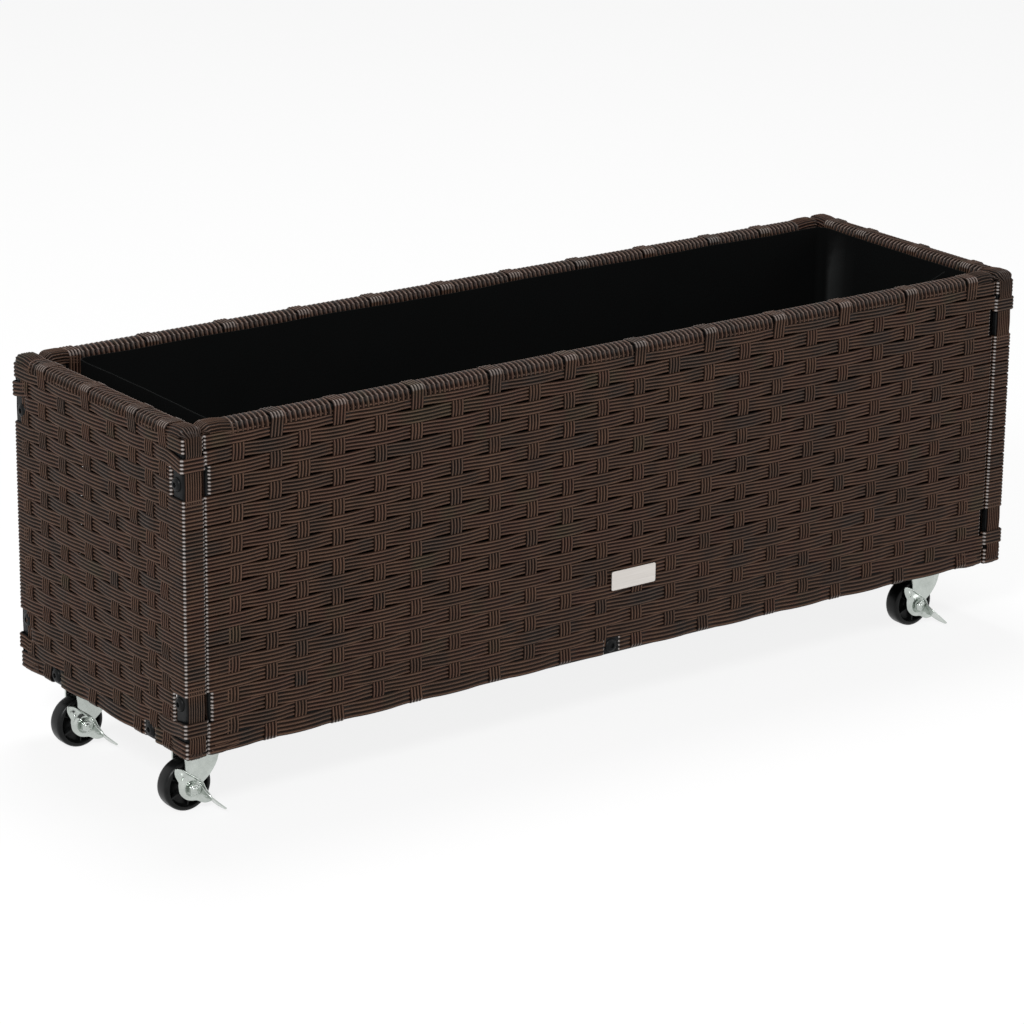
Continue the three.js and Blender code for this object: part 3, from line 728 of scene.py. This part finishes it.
def endCover(target, panel, side, top, tone):
    # over the rail it has twice as many ridges
    route = endRoute(panel, side, top)
    ridges, steps = railing["coverRidges"], weaving["stepsPerRidge"]
    wide = archedSection(
        panelThickness - 2 * wrapFoot, ridges * 2, steps // 2,
        railing["cornerRadius"], railing["coverDrop"],
    )
    narrow = ridgedSection(railing["tail"], ridges, steps)
    first, count = railing["narrowing"]
    sections = [blended(wide, narrow, eased((i - first) / count)) for i in range(len(route))]
    strip(target, route, narrow, tone, sections)


def panelMatrix(side):
    low, high = boxOf(side + "_weave")
    x, y = {
        "front": (0, low.y), "back": (0, high.y), "left": (low.x, 0), "right": (high.x, 0),
    }[side]
    move = Matrix.Translation(Vector((x, y, panelFoot)) * millimetre)
    return move @ Matrix.Rotation(radians(sideTurns[side]), 4, "Z") @ Matrix.Scale(millimetre, 4)


longPanel = {
    # the first stakes stand unevenly, the others 34.3 apart
    "stakes": [-355, -323, -297, -265, -229, -195, -159, -124]
    + [-89.5 + 34.3 * k for k in range(14)],
    "leans": [(0, 4.5), (1, 4), (3, 1), (6, 0)],    # stake, and half of how far it leans
    "weftWidth": 11.2,
    "notchReach": 5.0,       # how far a weft stops short of the panel's end at a corner screw
    "footReach": 8.0,        # and on either side of a foot screw
    "droop": 0.0,            # how far the crossing rows sag where they cross
    "bow": 2.0,              # how far the bottom edge rises in its middle
}
endPanel = {
    "stakes": [-105, -80, -50, -14, 21, 51, 74, 92],
    "leans": [(0, 0), (7, 0)],
    "weftWidth": 11.2, "notchReach": 18.0, "footReach": 8.0, "droop": 3.0, "bow": 1.0,
}
panelSettings = {
    "front": {**longPanel, "seed": 11},
    "back": {**longPanel, "seed": 12},
    "left": {**endPanel, "seed": 13, "weftWidth": 11.8},
    "right": {**endPanel, "seed": 14},
}


def footBoltPlaces(side):
    # along the panel, from its middle
    nodes = [node for node in slotOfNode if node.startswith(side + "_foot_bolt")]
    toPanel = panelMatrix(side).inverted()
    places = []
    for node in nodes:
        low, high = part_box(node)
        places.append((toPanel @ ((Vector(low) + Vector(high)) / 2)).x)
    return sorted(places)


def wovenPanel(side):
    panel = dict(panelSettings[side])
    low, high = boxOf(side + "_weave")
    panel["half"] = max(high.x - low.x, high.y - low.y) / 2
    panel["random"] = random.Random(panel["seed"])
    panel["places"] = stakePlaces(panel)
    panel["footBolts"] = footBoltPlaces(side)
    ridges = weaving["ridges"], weaving["stepsPerRidge"]
    stake = ridgedSection(weaving["stakeWidth"], *ridges)
    pieces = {name: bmesh.new() for name in ("wefts", "stakes", "rail_wraps")}
    for row in range(weaving["rows"]):
        tone = panel["random"].random()
        for span in weftSpans(panel, row):
            width = panel["weftWidth"] if row < weaving["openFrom"] else weaving["closeWeft"]
            if row == weaving["rows"] - 1:
                width = weaving["edgeWeft"]
            weft = ridgedSection(width, *ridges)
            strip(pieces["wefts"], weftRoute(panel, row, tone, span), weft, tone)
    for k in range(len(panel["stakes"])):
        strip(pieces["stakes"], stakeRoute(panel, k), stake, panel["random"].random())
    for top in (True, False):
        for x, width in ribPlaces(panel, top):
            tone = panel["random"].random()
            strip(pieces["rail_wraps"], ribRoute(panel, x, top), ribSection(width), tone)
        for end in (-1, 1):
            endCover(pieces["rail_wraps"], panel, end, top, panel["random"].random())
    for name, shape in pieces.items():
        piece = finished(moved(shape, panelMatrix(side)), side + "_" + name, "weave", "planter")
        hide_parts(side + "_weave")
    print(side, "panel woven")


for side in panelSettings:
    wovenPanel(side)


tubing = {"cornerRadius": 2.2, "segments": 3, "longEdge": 60}


def tubed(node, name):
    # the square tubes with their rolled corners, from a merged copy of the solid
    shape = bmesh.new()
    shape.from_mesh(bpy.data.objects[node].data)
    bmesh.ops.remove_doubles(shape, verts=shape.verts, dist=0.00001)
    bmesh.ops.dissolve_limit(shape, angle_limit=radians(1), verts=shape.verts, edges=shape.edges)
    limit = tubing["longEdge"] * millimetre
    edges = [edge for edge in sharpEdges(shape, 60) if edge.calc_length() > limit]
    rounded(shape, edges, tubing["cornerRadius"] * millimetre, tubing["segments"])
    piece = finished(shape, name, "black_steel", "planter")
    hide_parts(node)


for side in panelSettings:
    tubed(side + "_frame", side + "_tubes")
tubed("base_frame", "base_tubes")


screw = {
    "head": [(5.5, 0), (5.5, -0.35), (5.2, -0.95), (4.5, -1.6), (3.5, -2.05), (2.55, -2.2)],
    "height": 2.2,           # of the head
    "socket": 2.2,           # over its corners
    "socketDepth": 1.3,
    "socketEdge": 2.15,
    "shank": 3,
    "chamfer": 0.8,
    "steps": 24,
}


def screwShape(length):
    # a domed head with a hexagon socket; the head faces -Y
    socket, floorPlace = screw["socket"], screw["socketDepth"] - screw["height"]
    shank, chamfer = screw["shank"], screw["chamfer"]
    profile = [(0, floorPlace), (socket, floorPlace), (socket, -screw["socketEdge"])]
    profile += screw["head"][::-1] + [(shank, 0), (shank, length - chamfer)]
    profile += [(shank - chamfer, length), (0, length)]
    shape = turnedShape(profile, screw["steps"])
    for vert in shape.verts:
        radius = Vector((vert.co.x, vert.co.z)).length
        if abs(radius - socket) < 0.01 and vert.co.y < 0:
            angle = Vector((vert.co.x, vert.co.z)).angle_signed(Vector((1, 0)))
            turn = angle % (pi / 3) - pi / 6
            share = cos(pi / 6) / cos(turn)
            vert.co.x *= share
            vert.co.z *= share
    return shape


def addScrews():
    height = screw["height"]
    for node in [node for node in slotOfNode if "_bolt" in node]:
        low, high = boxOf(node)
        side = node.split("_")[0]
        centre = (low + high) / 2
        length = max(high.x - low.x, high.y - low.y) - height
        seat = {
            "front": (centre.x, low.y + height), "back": (centre.x, high.y - height),
            "left": (low.x + height, centre.y), "right": (high.x - height, centre.y),
        }[side]
        move = Matrix.Translation(Vector((*seat, centre.z)) * millimetre)
        turn = Matrix.Rotation(radians(sideTurns[side]), 4, "Z")
        shape = moved(screwShape(length), move @ turn @ Matrix.Scale(millimetre, 4))
        piece = finished(shape, node.replace("_bolt", "_screw"), "black_steel", "planter")
        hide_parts(node)


addScrews()


badge = {"corner": 1.5, "cornerSteps": 6, "rounding": 0.125, "border": 1.1, "raised": 0.18}


def addBadge():
    # a bare plate with a raised border
    low, high = boxOf("badge")
    shape = bmesh.new()
    fitted = Matrix.Translation((low + high) / 2) @ Matrix.Diagonal((*(high - low), 1))
    bmesh.ops.create_cube(shape, size=1, matrix=fitted)
    upright = [edge for edge in shape.edges if abs(edge.verts[0].co.y - edge.verts[1].co.y) > 0.1]
    rounded(shape, upright, badge["corner"], badge["cornerSteps"])
    face = min(shape.faces, key=lambda one: one.calc_center_median().y)
    bmesh.ops.inset_region(
        shape, faces=[face], thickness=badge["border"], depth=0, use_even_offset=True,
    )
    bmesh.ops.translate(shape, verts=face.verts, vec=(0, badge["raised"], 0))
    rounded(shape, sharpEdges(shape, 40), badge["rounding"])
    piece = finished(moved(shape, Matrix.Scale(millimetre, 4)), "badge_plate", "badge", "planter")
    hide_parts("badge")


addBadge()
print("frames, screws and badge made")


bag = {
    "corner": 13,            # radius of its upright corners
    "cornerSteps": 6,
    "foot": 9,               # radius round its floor
    "footSteps": 4,
    "wall": 1.0,
    "wallDepth": 2,          # a point nearer to a side than this is in its wall
    "lift": 0.2,
    "cell": 12,              # spacing of the points that the cloth moves by
    "slack": 3.2,            # how far its walls belly inwards
    "slackPower": 0.8,       # below 1 they are fuller towards the floor and the rim
    "slackLengths": (150, 90, 120),
    "crease": 0.9,
    "creaseLengths": (30, 30, 55),
    "floorRipple": (0.8, 60),    # height and length
    "rimRipple": (1.2, 70),
    # where its rim stands up against the front; it rises over the last part of the wall
    "peak": {"x": 342, "width": 18, "height": 8, "part": 0.15},
    # in the right end, near the back; it fades towards the floor and the rim
    "fold": {"inset": 26, "width": 16, "depth": 7, "fromFloor": 4, "fromRim": 6},
}


def bagShape(size):
    # an open box with rounded corners, cut into a fine net
    shape = bmesh.new()
    bmesh.ops.create_cube(shape, size=1, matrix=Matrix.Diagonal((*size, 1)))
    lid = max(shape.faces, key=lambda face: face.calc_center_median().z)
    bmesh.ops.delete(shape, geom=[lid], context="FACES_ONLY")
    upright = [edge for edge in shape.edges if abs(edge.verts[0].co.z - edge.verts[1].co.z) > 1]
    rounded(shape, upright, bag["corner"], bag["cornerSteps"])
    lowest = min(vert.co.z for vert in shape.verts)
    around = [
        edge for edge in shape.edges
        if all(vert.co.z < lowest + 0.1 for vert in edge.verts) and len(edge.link_faces) == 2
    ]
    rounded(shape, around, bag["foot"], bag["footSteps"])
    for axis in range(3):
        normal = Vector((0, 0, 0))
        normal[axis] = 1
        count = round(size[axis] / bag["cell"])
        for i in range(1, count):
            bmesh.ops.bisect_plane(
                shape, geom=shape.verts[:] + shape.edges[:] + shape.faces[:], dist=0.01,
                plane_co=normal * (size[axis] * (i / count - 0.5)), plane_no=normal,
            )
    bmesh.ops.translate(shape, verts=shape.verts, vec=(0, 0, size.z / 2))
    return shape


def ripple(place, lengths, shift=0):
    # smooth noise, with waves of about these lengths
    x, y, z = (value / length for value, length in zip(place, lengths))
    return noise.noise(Vector((x, y, z + shift)))


def flatRipple(place, ripples, shift):
    # the same over a floor or a rim, and always upwards
    height, length = ripples
    return height * (1 + noise.noise(Vector((place.x / length, place.y / length, shift))))


def addBag():
    # felt walls that belly between floor and rim, a peak in the front rim and a fold in one end
    low, high = boxOf("liner")
    centre, size = (low + high) / 2, high - low
    halfLength, halfWidth, height = size.x / 2, size.y / 2, size.z
    shape = bagShape(Vector((size.x - 2 * bag["wall"], size.y - 2 * bag["wall"], height)))
    creased = shape.verts.layers.float.new("creased")
    for vert in shape.verts:
        place = vert.co
        rise = place.z / height
        arch = sin(pi * min(rise, 1)) ** bag["slackPower"] if rise > 0 else 0
        belly = bag["slack"] * arch
        push = belly * (0.5 + 0.5 * ripple(place, bag["slackLengths"], 3))
        push = push + bag["crease"] * ripple(place, bag["creaseLengths"]) + bag["crease"]
        edgeX = halfLength - abs(place.x) < bag["wallDepth"]
        edgeY = halfWidth - abs(place.y) < bag["wallDepth"]
        if edgeX:
            place.x -= push * (1 if place.x > 0 else -1)
        if edgeY:
            place.y -= push * (1 if place.y > 0 else -1)
        if rise <= 0:
            place.z += flatRipple(place, bag["floorRipple"], 7)
        if rise > 0.999:
            place.z -= flatRipple(place, bag["rimRipple"], 2)
        if edgeY and place.y < 0:
            peak = bag["peak"]
            near = eased(1 - abs(place.x + centre.x - peak["x"]) / peak["width"])
            place.z += peak["height"] * near * eased((rise - (1 - peak["part"])) / peak["part"])
        if edgeX and place.x > 0:
            fold = bag["fold"]
            near = eased(1 - abs(halfWidth - place.y - fold["inset"]) / fold["width"])
            near *= eased(rise * fold["fromFloor"]) * eased((1 - rise) * fold["fromRim"])
            place.x -= fold["depth"] * near
            # how deep the fold is here, which sets how strong the painted sheen on the felt is
            vert[creased] = near
    bmesh.ops.recalc_face_normals(shape, faces=shape.faces)
    bmesh.ops.solidify(shape, geom=shape.faces, thickness=bag["wall"])
    bmesh.ops.translate(shape, verts=shape.verts, vec=(centre.x, centre.y, low.z + bag["lift"]))
    shape = moved(shape, Matrix.Scale(millimetre, 4))
    piece = finished(shape, "felt_liner", "liner", "planter", smoothAngle=60)
    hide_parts("liner")


addBag()
print("liner hung")


# Casters, in millimetres from the swivel axis at the floor; the wheel trails towards -X.
caster = {
    "trail": 19.5,
    "wheelRadius": 20,
    "legOutside": 9.9,
    "legThickness": 2,
    "crownTop": 48,
}
wheelSizes = {
    "profile": [
        (2.8, 7.4), (5.6, 7.4), (6.1, 7.0), (6.9, 2.6), (7.6, 2.1), (14.2, 2.1), (15.0, 2.6),
        (16.0, 6.3), (16.5, 6.9), (17.6, 7.0), (18.9, 6.5), (19.7, 5.4), (20.0, 3.6), (20.0, 0),
    ],
    "steps": 56,
    "ribs": 6,
    "ribSize": (10.4, 11, 1.4),
    "ribMiddle": 10.9,       # from the axle
    "ribRounding": 0.3,
}


def wheelShape():
    half = wheelSizes["profile"]
    profile = half + [(radius, -y) for radius, y in half[-2::-1]] + [half[0]]
    shape = turnedShape(profile, wheelSizes["steps"])
    for i in range(wheelSizes["ribs"]):
        rib = bmesh.new()
        bmesh.ops.create_cube(rib, size=1, matrix=Matrix.Diagonal((*wheelSizes["ribSize"], 1)))
        rounded(rib, rib.edges[:], wheelSizes["ribRounding"])
        bmesh.ops.translate(rib, verts=rib.verts, vec=(wheelSizes["ribMiddle"], 0, 0))
        joined(shape, moved(rib, Matrix.Rotation(2 * pi * (i + 0.5) / wheelSizes["ribs"], 4, "Y")))
    return shape


forkSizes = {
    # leading edge of a leg: place along X at each height
    "front": [
        (15.5, -19.5), (15.8, -17.8), (16.6, -16.4), (17.6, -14.6), (19.6, -11.6), (22.2, -8.2),
        (24.5, -5.2), (26.7, -2.7), (30.4, 0.4), (34.2, 2.8), (37.0, 4.0), (40.0, 4.8), (44.0, 6.2),
        (48.0, 9.2),
    ],
    "legHeights": (15.6, 16.0, 16.6, 17.4, 18.4, 20, 22, 24.5, 27, 30, 33, 36.5, 40),
    "endRadius": 4.4,
    "backEdge": -23.9,
    "crownRadius": 13.5,
    "crownPlaces": (1.5, 3, 4.4),    # in from the bend
    "bend": 4.2,
    "bendSteps": 5,
    "across": 10,
    "rounding": 0.35,
}


def forkShape():
    # one sheet bent to a U: up one leg, over the crown and down the other
    outside, crown, radius = caster["legOutside"], caster["crownTop"], forkSizes["bend"]
    line = [(outside, z) for z in forkSizes["legHeights"]]
    for i in range(forkSizes["bendSteps"] + 1):
        angle = pi / 2 * i / forkSizes["bendSteps"]
        line.append((outside - radius + radius * cos(angle), crown - radius + radius * sin(angle)))
    line += [(outside - radius - place, crown) for place in forkSizes["crownPlaces"]]
    line += [(0, crown)]
    line += [(-y, z) for y, z in line[-2::-1]]
    shape = bmesh.new()
    across = forkSizes["across"]
    bmesh.ops.create_grid(shape, x_segments=across, y_segments=len(line) - 1, size=0.5)
    centre = -caster["trail"]
    for vert in shape.verts:
        y, z = line[round((vert.co.y + 0.5) * (len(line) - 1))]
        lowest = caster["wheelRadius"] - z
        back = forkSizes["backEdge"]
        if lowest > 0:
            back = centre - sqrt(max(forkSizes["endRadius"] ** 2 - lowest ** 2, 0))
        front = between(forkSizes["front"], z)
        if z > crown - 0.1:
            front = max(front, sqrt(forkSizes["crownRadius"] ** 2 - y ** 2))
        vert.co = Vector((back + (front - back) * (vert.co.x + 0.5), y, z))
    bmesh.ops.remove_doubles(shape, verts=shape.verts, dist=0.0005)
    bmesh.ops.recalc_face_normals(shape, faces=shape.faces)
    top = max(shape.faces, key=lambda face: face.calc_center_median().z)
    if top.normal.z < 0:
        bmesh.ops.reverse_faces(shape, faces=shape.faces)
    return madeThick(shape, caster["legThickness"], forkSizes["rounding"])


leverSizes = {
    # outline from the axle, in X and Z
    "outline": [
        (-13.1, 17.4), (-14.1, 14.4), (-13.6, 11.4), (-11.6, 7.4), (-10.9, 5.9), (-11.1, 3.4),
        (-10.1, -2.6), (-7.1, -6.6), (-3.6, -9.3), (0.4, -10.6), (4.4, -11.3), (6.9, -12.6),
        (9.4, -14.1), (13.4, -15.1), (17.4, -13.9), (14.9, -8.6), (11.4, -3.1), (8.9, 2.4),
        (5.4, 5.4), (0.4, 9.2), (-4.6, 12.9), (-8.6, 15.9),
    ],
    "rings": (1.0, 0.97, 0.93, 0.88, 0.82, 0.76, 0.7, 0.64, 0.57, 0.5, 0.42, 0.35, 0.3),
    "outlineSteps": 3,
    "hole": 2.7,             # radius
    "seat": 12.0,            # its outer face at the nut
    "rim": 10.9,             # and at the edge
    "thickness": 0.9,
    "rounding": 0.2,
    "dome": (6.5, 10.2),     # the dome falls between these radii
    "ring": (7.2, 2.6, 0.8),     # radius, half width and height of the swage round the nut
    "edge": (0.84, 0.16),    # the edge turns from this share of the outline on, over so much
    "flange": 1.5,           # how far it is turned out above the pedal
    "roll": 0.45,            # and in elsewhere
    # the way to the pedal in X and Z, how far out the flange starts, and its blend
    "flangeSide": (0.77, 0.64, 2.5, 3),
    # place in X and Z, radius and height
    "bosses": [(11.8, -9.8, 4.4, 1.5), (11.8, -9.8, 1.9, -0.9), (-8.9, 10.9, 3.4, 1.3)],
}


def smoothLoop(points, steps):
    # a closed line through the points, without corners
    count = len(points)
    places = [Vector(point) for point in points]
    line = []
    for i in range(count):
        a, b, c, d = (places[(i + k) % count] for k in (-1, 0, 1, 2))
        for step in range(steps):
            t = step / steps
            line.append(b + (c - a) * 0.5 * t + (a - b * 2.5 + c * 2 - d * 0.5) * t * t
                        + (b * 1.5 - a * 0.5 - c * 1.5 + d * 0.5) * t ** 3)
    return line


def leverPlate():
    shape = bmesh.new()
    outline = smoothLoop(leverSizes["outline"], leverSizes["outlineSteps"])
    edgeStart, edgeWidth = leverSizes["edge"]
    sideX, sideZ, sideStart, sideBlend = leverSizes["flangeSide"]
    top, foot = leverSizes["dome"]
    ringRadius, ringWidth, ringHeight = leverSizes["ring"]
    loops = []
    for share in leverSizes["rings"]:
        verts = []
        for spot in outline:
            place = spot * share
            if share == leverSizes["rings"][-1]:
                place = spot.normalized() * leverSizes["hole"]
            reach = place.length
            edge = min(max((share - edgeStart) / edgeWidth, 0), 1)
            turned = eased((spot.x * sideX + spot.y * sideZ - sideStart) / sideBlend)
            dome = eased((foot - reach) / (foot - top))
            y = leverSizes["rim"] + (leverSizes["seat"] - leverSizes["rim"]) * dome
            y += edge ** 2 * (leverSizes["flange"] * turned - leverSizes["roll"] * (1 - turned))
            y += ringHeight * eased(1 - abs(reach - ringRadius) / ringWidth)
            for x, z, radius, height in leverSizes["bosses"]:
                near = 1 - ((place.x - x) ** 2 + (place.y - z) ** 2) ** 0.5 / radius
                y += height * eased(near)
            verts.append(shape.verts.new((place.x, -y, place.y)))
        loops.append([shape.edges.new(pair) for pair in zip(verts, verts[1:] + verts[:1])])
    for outer, inner in zip(loops, loops[1:]):
        bmesh.ops.bridge_loops(shape, edges=outer + inner)
    bmesh.ops.recalc_face_normals(shape, faces=shape.faces)
    if shape.faces[0].normal.y > 0:
        bmesh.ops.reverse_faces(shape, faces=shape.faces)
    return madeThick(shape, leverSizes["thickness"], leverSizes["rounding"])


pedalSizes = {
    # its corners from the axle, along the plate's edge and along its free edge
    "root": ((6.2, -11.4, 5.0), (16.6, -11.4, -12.8)),
    "free": ((8.5, -27.1, -4.9), (22.3, -27.3, -17.2)),
    "curl": 0.9,             # how far its middle bows
    "cut": 0.3,              # how far its free corners are rounded off
    "cutAlong": (0.8, 0.2),  # from this share of its length on, over so much
    "thickness": 1.0,
    "rounding": 0.3,
    "across": 14,
    "out": 12,
}


def pedalBlade():
    root, free = ([Vector(corner) for corner in pedalSizes[name]] for name in ("root", "free"))
    under = (root[1] - root[0]).cross(free[0] - root[0]).normalized()
    cutStart, cutLength = pedalSizes["cutAlong"]
    shape = bmesh.new()
    bmesh.ops.create_grid(
        shape, x_segments=pedalSizes["across"], y_segments=pedalSizes["out"], size=0.5,
    )
    for vert in shape.verts:
        u, v = vert.co.x + 0.5, vert.co.y + 0.5
        u += (0.5 - u) * pedalSizes["cut"] * max((v - cutStart) / cutLength, 0) ** 2
        place = root[0].lerp(root[1], u).lerp(free[0].lerp(free[1], u), v)
        vert.co = place + under * pedalSizes["curl"] * sin(pi * v)
    bmesh.ops.recalc_face_normals(shape, faces=shape.faces)
    return madeThick(shape, pedalSizes["thickness"], pedalSizes["rounding"])


def leverShape():
    shape = leverPlate()
    joined(shape, pedalBlade())
    return shape


nutSizes = {
    "flats": 8,
    "inside": 12.3,
    "outside": 16.3,
    "chamfer": 0.7,
    "chamferSteps": 3,
    "rounding": 0.2,
}


def nutShape():
    radius = nutSizes["flats"] / sqrt(3)
    height = nutSizes["outside"] - nutSizes["inside"]
    shape = bmesh.new()
    bmesh.ops.create_cone(
        shape, cap_ends=True, segments=6, radius1=radius, radius2=radius, depth=height,
        matrix=Matrix.Translation((0, -(nutSizes["inside"] + nutSizes["outside"]) / 2, 0))
        @ Matrix.Rotation(pi / 2, 4, "X"),
    )
    ends = [edge for edge in shape.edges if abs(edge.verts[0].co.y - edge.verts[1].co.y) < 0.1]
    rounded(shape, ends, nutSizes["chamfer"], nutSizes["chamferSteps"])
    rounded(shape, sharpEdges(shape, 50), nutSizes["rounding"], 1)
    return shape


axleSizes = {
    # radius and place along Y
    "tip": [(0, -17.0), (1.7, -17.0), (2.35, -16.5)],
    "thread": [(2.5, -16.2), (2.15, -15.8)],
    "threads": 3,
    "pitch": 0.9,
    "shank": [(2.5, -13.3), (2.5, 10.2)],
    "head": [(4.6, 10.2), (4.6, 11.4), (4.1, 12.2), (3.1, 12.6), (0, 12.6)],
    "steps": 20,
}


def axleShape():
    threads = [
        (radius, y + i * axleSizes["pitch"])
        for i in range(axleSizes["threads"]) for radius, y in axleSizes["thread"]
    ]
    profile = axleSizes["tip"] + threads + axleSizes["shank"] + axleSizes["head"]
    return turnedShape(profile, axleSizes["steps"])


def standing(profile, steps):
    # the same turned shape, but upright
    return moved(turnedShape(profile, steps), Matrix.Rotation(pi / 2, 4, "X"))


bearingSizes = {
    # radius and height
    "cup": [
        (4.3, 48.3), (12.2, 48.3), (12.5, 48.6), (12.5, 50.8), (12.2, 51.5), (11.2, 52.2),
        (9.2, 53.9), (8.2, 54.3), (4.3, 54.3), (4.3, 48.3),
    ],
    "cupSteps": 36,
    "stem": [
        (0, 43.7), (5.6, 43.7), (6.5, 44.4), (6.5, 45.7), (4.0, 45.7), (4.0, 54.6), (7.7, 54.6),
        (8.0, 54.9), (8.0, 56.3), (7.7, 56.6), (4.0, 56.6), (4.0, 69.4), (3.5, 69.9), (0, 69.9),
    ],
    "stemSteps": 24,
}


def cupShape():
    return standing(bearingSizes["cup"], bearingSizes["cupSteps"])


def stemShape():
    return standing(bearingSizes["stem"], bearingSizes["stemSteps"])


def addCasters():
    atAxle = Matrix.Translation((-caster["trail"], 0, caster["wheelRadius"]))
    atFloor = Matrix.Identity(4)
    parts = [
        # piece, node, body, slot, shape, where it is drawn
        ("tyre", "wheel", "wheel", "caster_wheel", wheelShape, atAxle),
        ("yoke", "fork", "swivel", "zinc", forkShape, atFloor),
        ("lever", "brake", "brake", "zinc", leverShape, atAxle),
        ("locknut", "nut", "swivel", "zinc", nutShape, atAxle),
        ("pin", "axle", "swivel", "zinc", axleShape, atAxle),
        ("race", "cup", "", "zinc", cupShape, atFloor),
        ("post", "stem", "", "zinc", stemShape, atFloor),
    ]
    for place in ("front_left", "front_right", "back_left", "back_right"):
        low, high = boxOf(place + "_cup")
        spot = Vector(((low.x + high.x) / 2, (low.y + high.y) / 2, 0)) * millimetre
        here = Matrix.Translation(spot) @ Matrix.Scale(millimetre, 4)
        for name, node, body, slotName, makeShape, where in parts:
            riding = place + "_" + body if body else "planter"
            shape = moved(makeShape(), here @ where)
            piece = finished(shape, place + "_" + name, slotName, riding)
            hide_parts(place + "_" + node)


addCasters()
print("casters made")


camera = {
    "place": (-1.7909, -2.3925, 1.1207),
    "heading": 53.496,
    "tilt": 18.174,
    "roll": 0.689,
    "lens": 138.54,
    "sensor": 36,
}


def makeCamera():
    heading, tilt, roll = (radians(camera[name]) for name in ("heading", "tilt", "roll"))
    ahead = Vector((cos(tilt) * cos(heading), cos(tilt) * sin(heading), -sin(tilt)))
    right = Vector((sin(heading), -cos(heading), 0))
    up = right.cross(ahead)
    turnedRight = right * cos(roll) + up * sin(roll)
    turnedUp = up * cos(roll) - right * sin(roll)
    lens = bpy.data.cameras.new("photo view")
    lens.lens = camera["lens"]
    lens.sensor_width = camera["sensor"]
    holder = bpy.data.objects.new("photo view", lens)
    turn = Matrix((turnedRight, turnedUp, -ahead)).transposed().to_4x4()
    holder.matrix_world = Matrix.Translation(camera["place"]) @ turn
    bpy.context.scene.collection.objects.link(holder)
    bpy.context.scene.camera = holder


studio = {
    "lamps": {
        "key": {"place": (-2.6, -2.1, 2.5), "size": 0.8, "power": 105},
        "fill": {"place": (2.4, -2.6, 1.6), "size": 2.2, "power": 22},
        "top": {"place": (0.3, 0.8, 3.0), "size": 1.2, "power": 62},
    },
    "aim": (0, 0, 0.15),
    "ambient": 0.24,         # the world's strength as light; it is 1 to the rays that see it
    "floor": (0.88, 0.88, 0.88),
    "floorGlow": 0.86,       # how much of it is plain white to those rays
    "floorReach": 12,
}


def makeLamps():
    for name, lamp in studio["lamps"].items():
        light = bpy.data.lights.new(name, "AREA")
        light.shape = "DISK"
        light.size = lamp["size"]
        light.energy = lamp["power"]
        holder = bpy.data.objects.new(name, light)
        holder.location = lamp["place"]
        aim = Vector(studio["aim"]) - Vector(lamp["place"])
        holder.rotation_euler = aim.to_track_quat("-Z", "Y").to_euler()
        bpy.context.scene.collection.objects.link(holder)


def seenRays(finish):
    # 1 for rays that meet a white background: from the camera, in gloss and through glass
    direct, gloss, clear = (
        finish.node("ShaderNodeLightPath", {}, {}, "Is " + kind + " Ray")
        for kind in ("Camera", "Glossy", "Transmission")
    )
    return direct.math("MAXIMUM", direct, gloss.math("MAXIMUM", gloss, clear))


def makeWorld():
    # softer as light than where it is seen
    world = bpy.data.worlds.new("studio")
    sky = Finish(world)
    background = sky.tree.nodes["Background"]
    sky.feed(background.inputs["Color"], (1, 1, 1, 1))
    strength = 1 - (1 - seenRays(sky)) * (1 - studio["ambient"])
    sky.feed(background.inputs["Strength"], strength)
    bpy.context.scene.world = world


def makeFloor():
    shape = bmesh.new()
    bmesh.ops.create_grid(shape, x_segments=1, y_segments=1, size=studio["floorReach"])
    mesh = bpy.data.meshes.new("floor")
    shape.to_mesh(mesh)
    shape.free()
    ground = bpy.data.objects.new("floor", mesh)
    bpy.context.scene.collection.objects.link(ground)
    finish = Finish(bpy.data.materials.new("pale floor"))
    finish.dress(Base_Color=(*studio["floor"], 1), Roughness=0.9, Specular_IOR_Level=0.1)
    glow = finish.node("ShaderNodeEmission", {}, {"Color": (1, 1, 1, 1)})
    lit = Value(finish, finish.surface.outputs["BSDF"])
    mix = finish.node("ShaderNodeMixShader", {}, {
        "Fac": seenRays(finish) * studio["floorGlow"], 1: lit, 2: glow,
    })
    finish.feed(finish.tree.nodes["Material Output"].inputs["Surface"], mix)
    mesh.materials.append(finish.material)


makeCamera()
makeLamps()
makeWorld()
makeFloor()
bpy.context.scene.view_settings.view_transform = "Standard"
print("studio set")
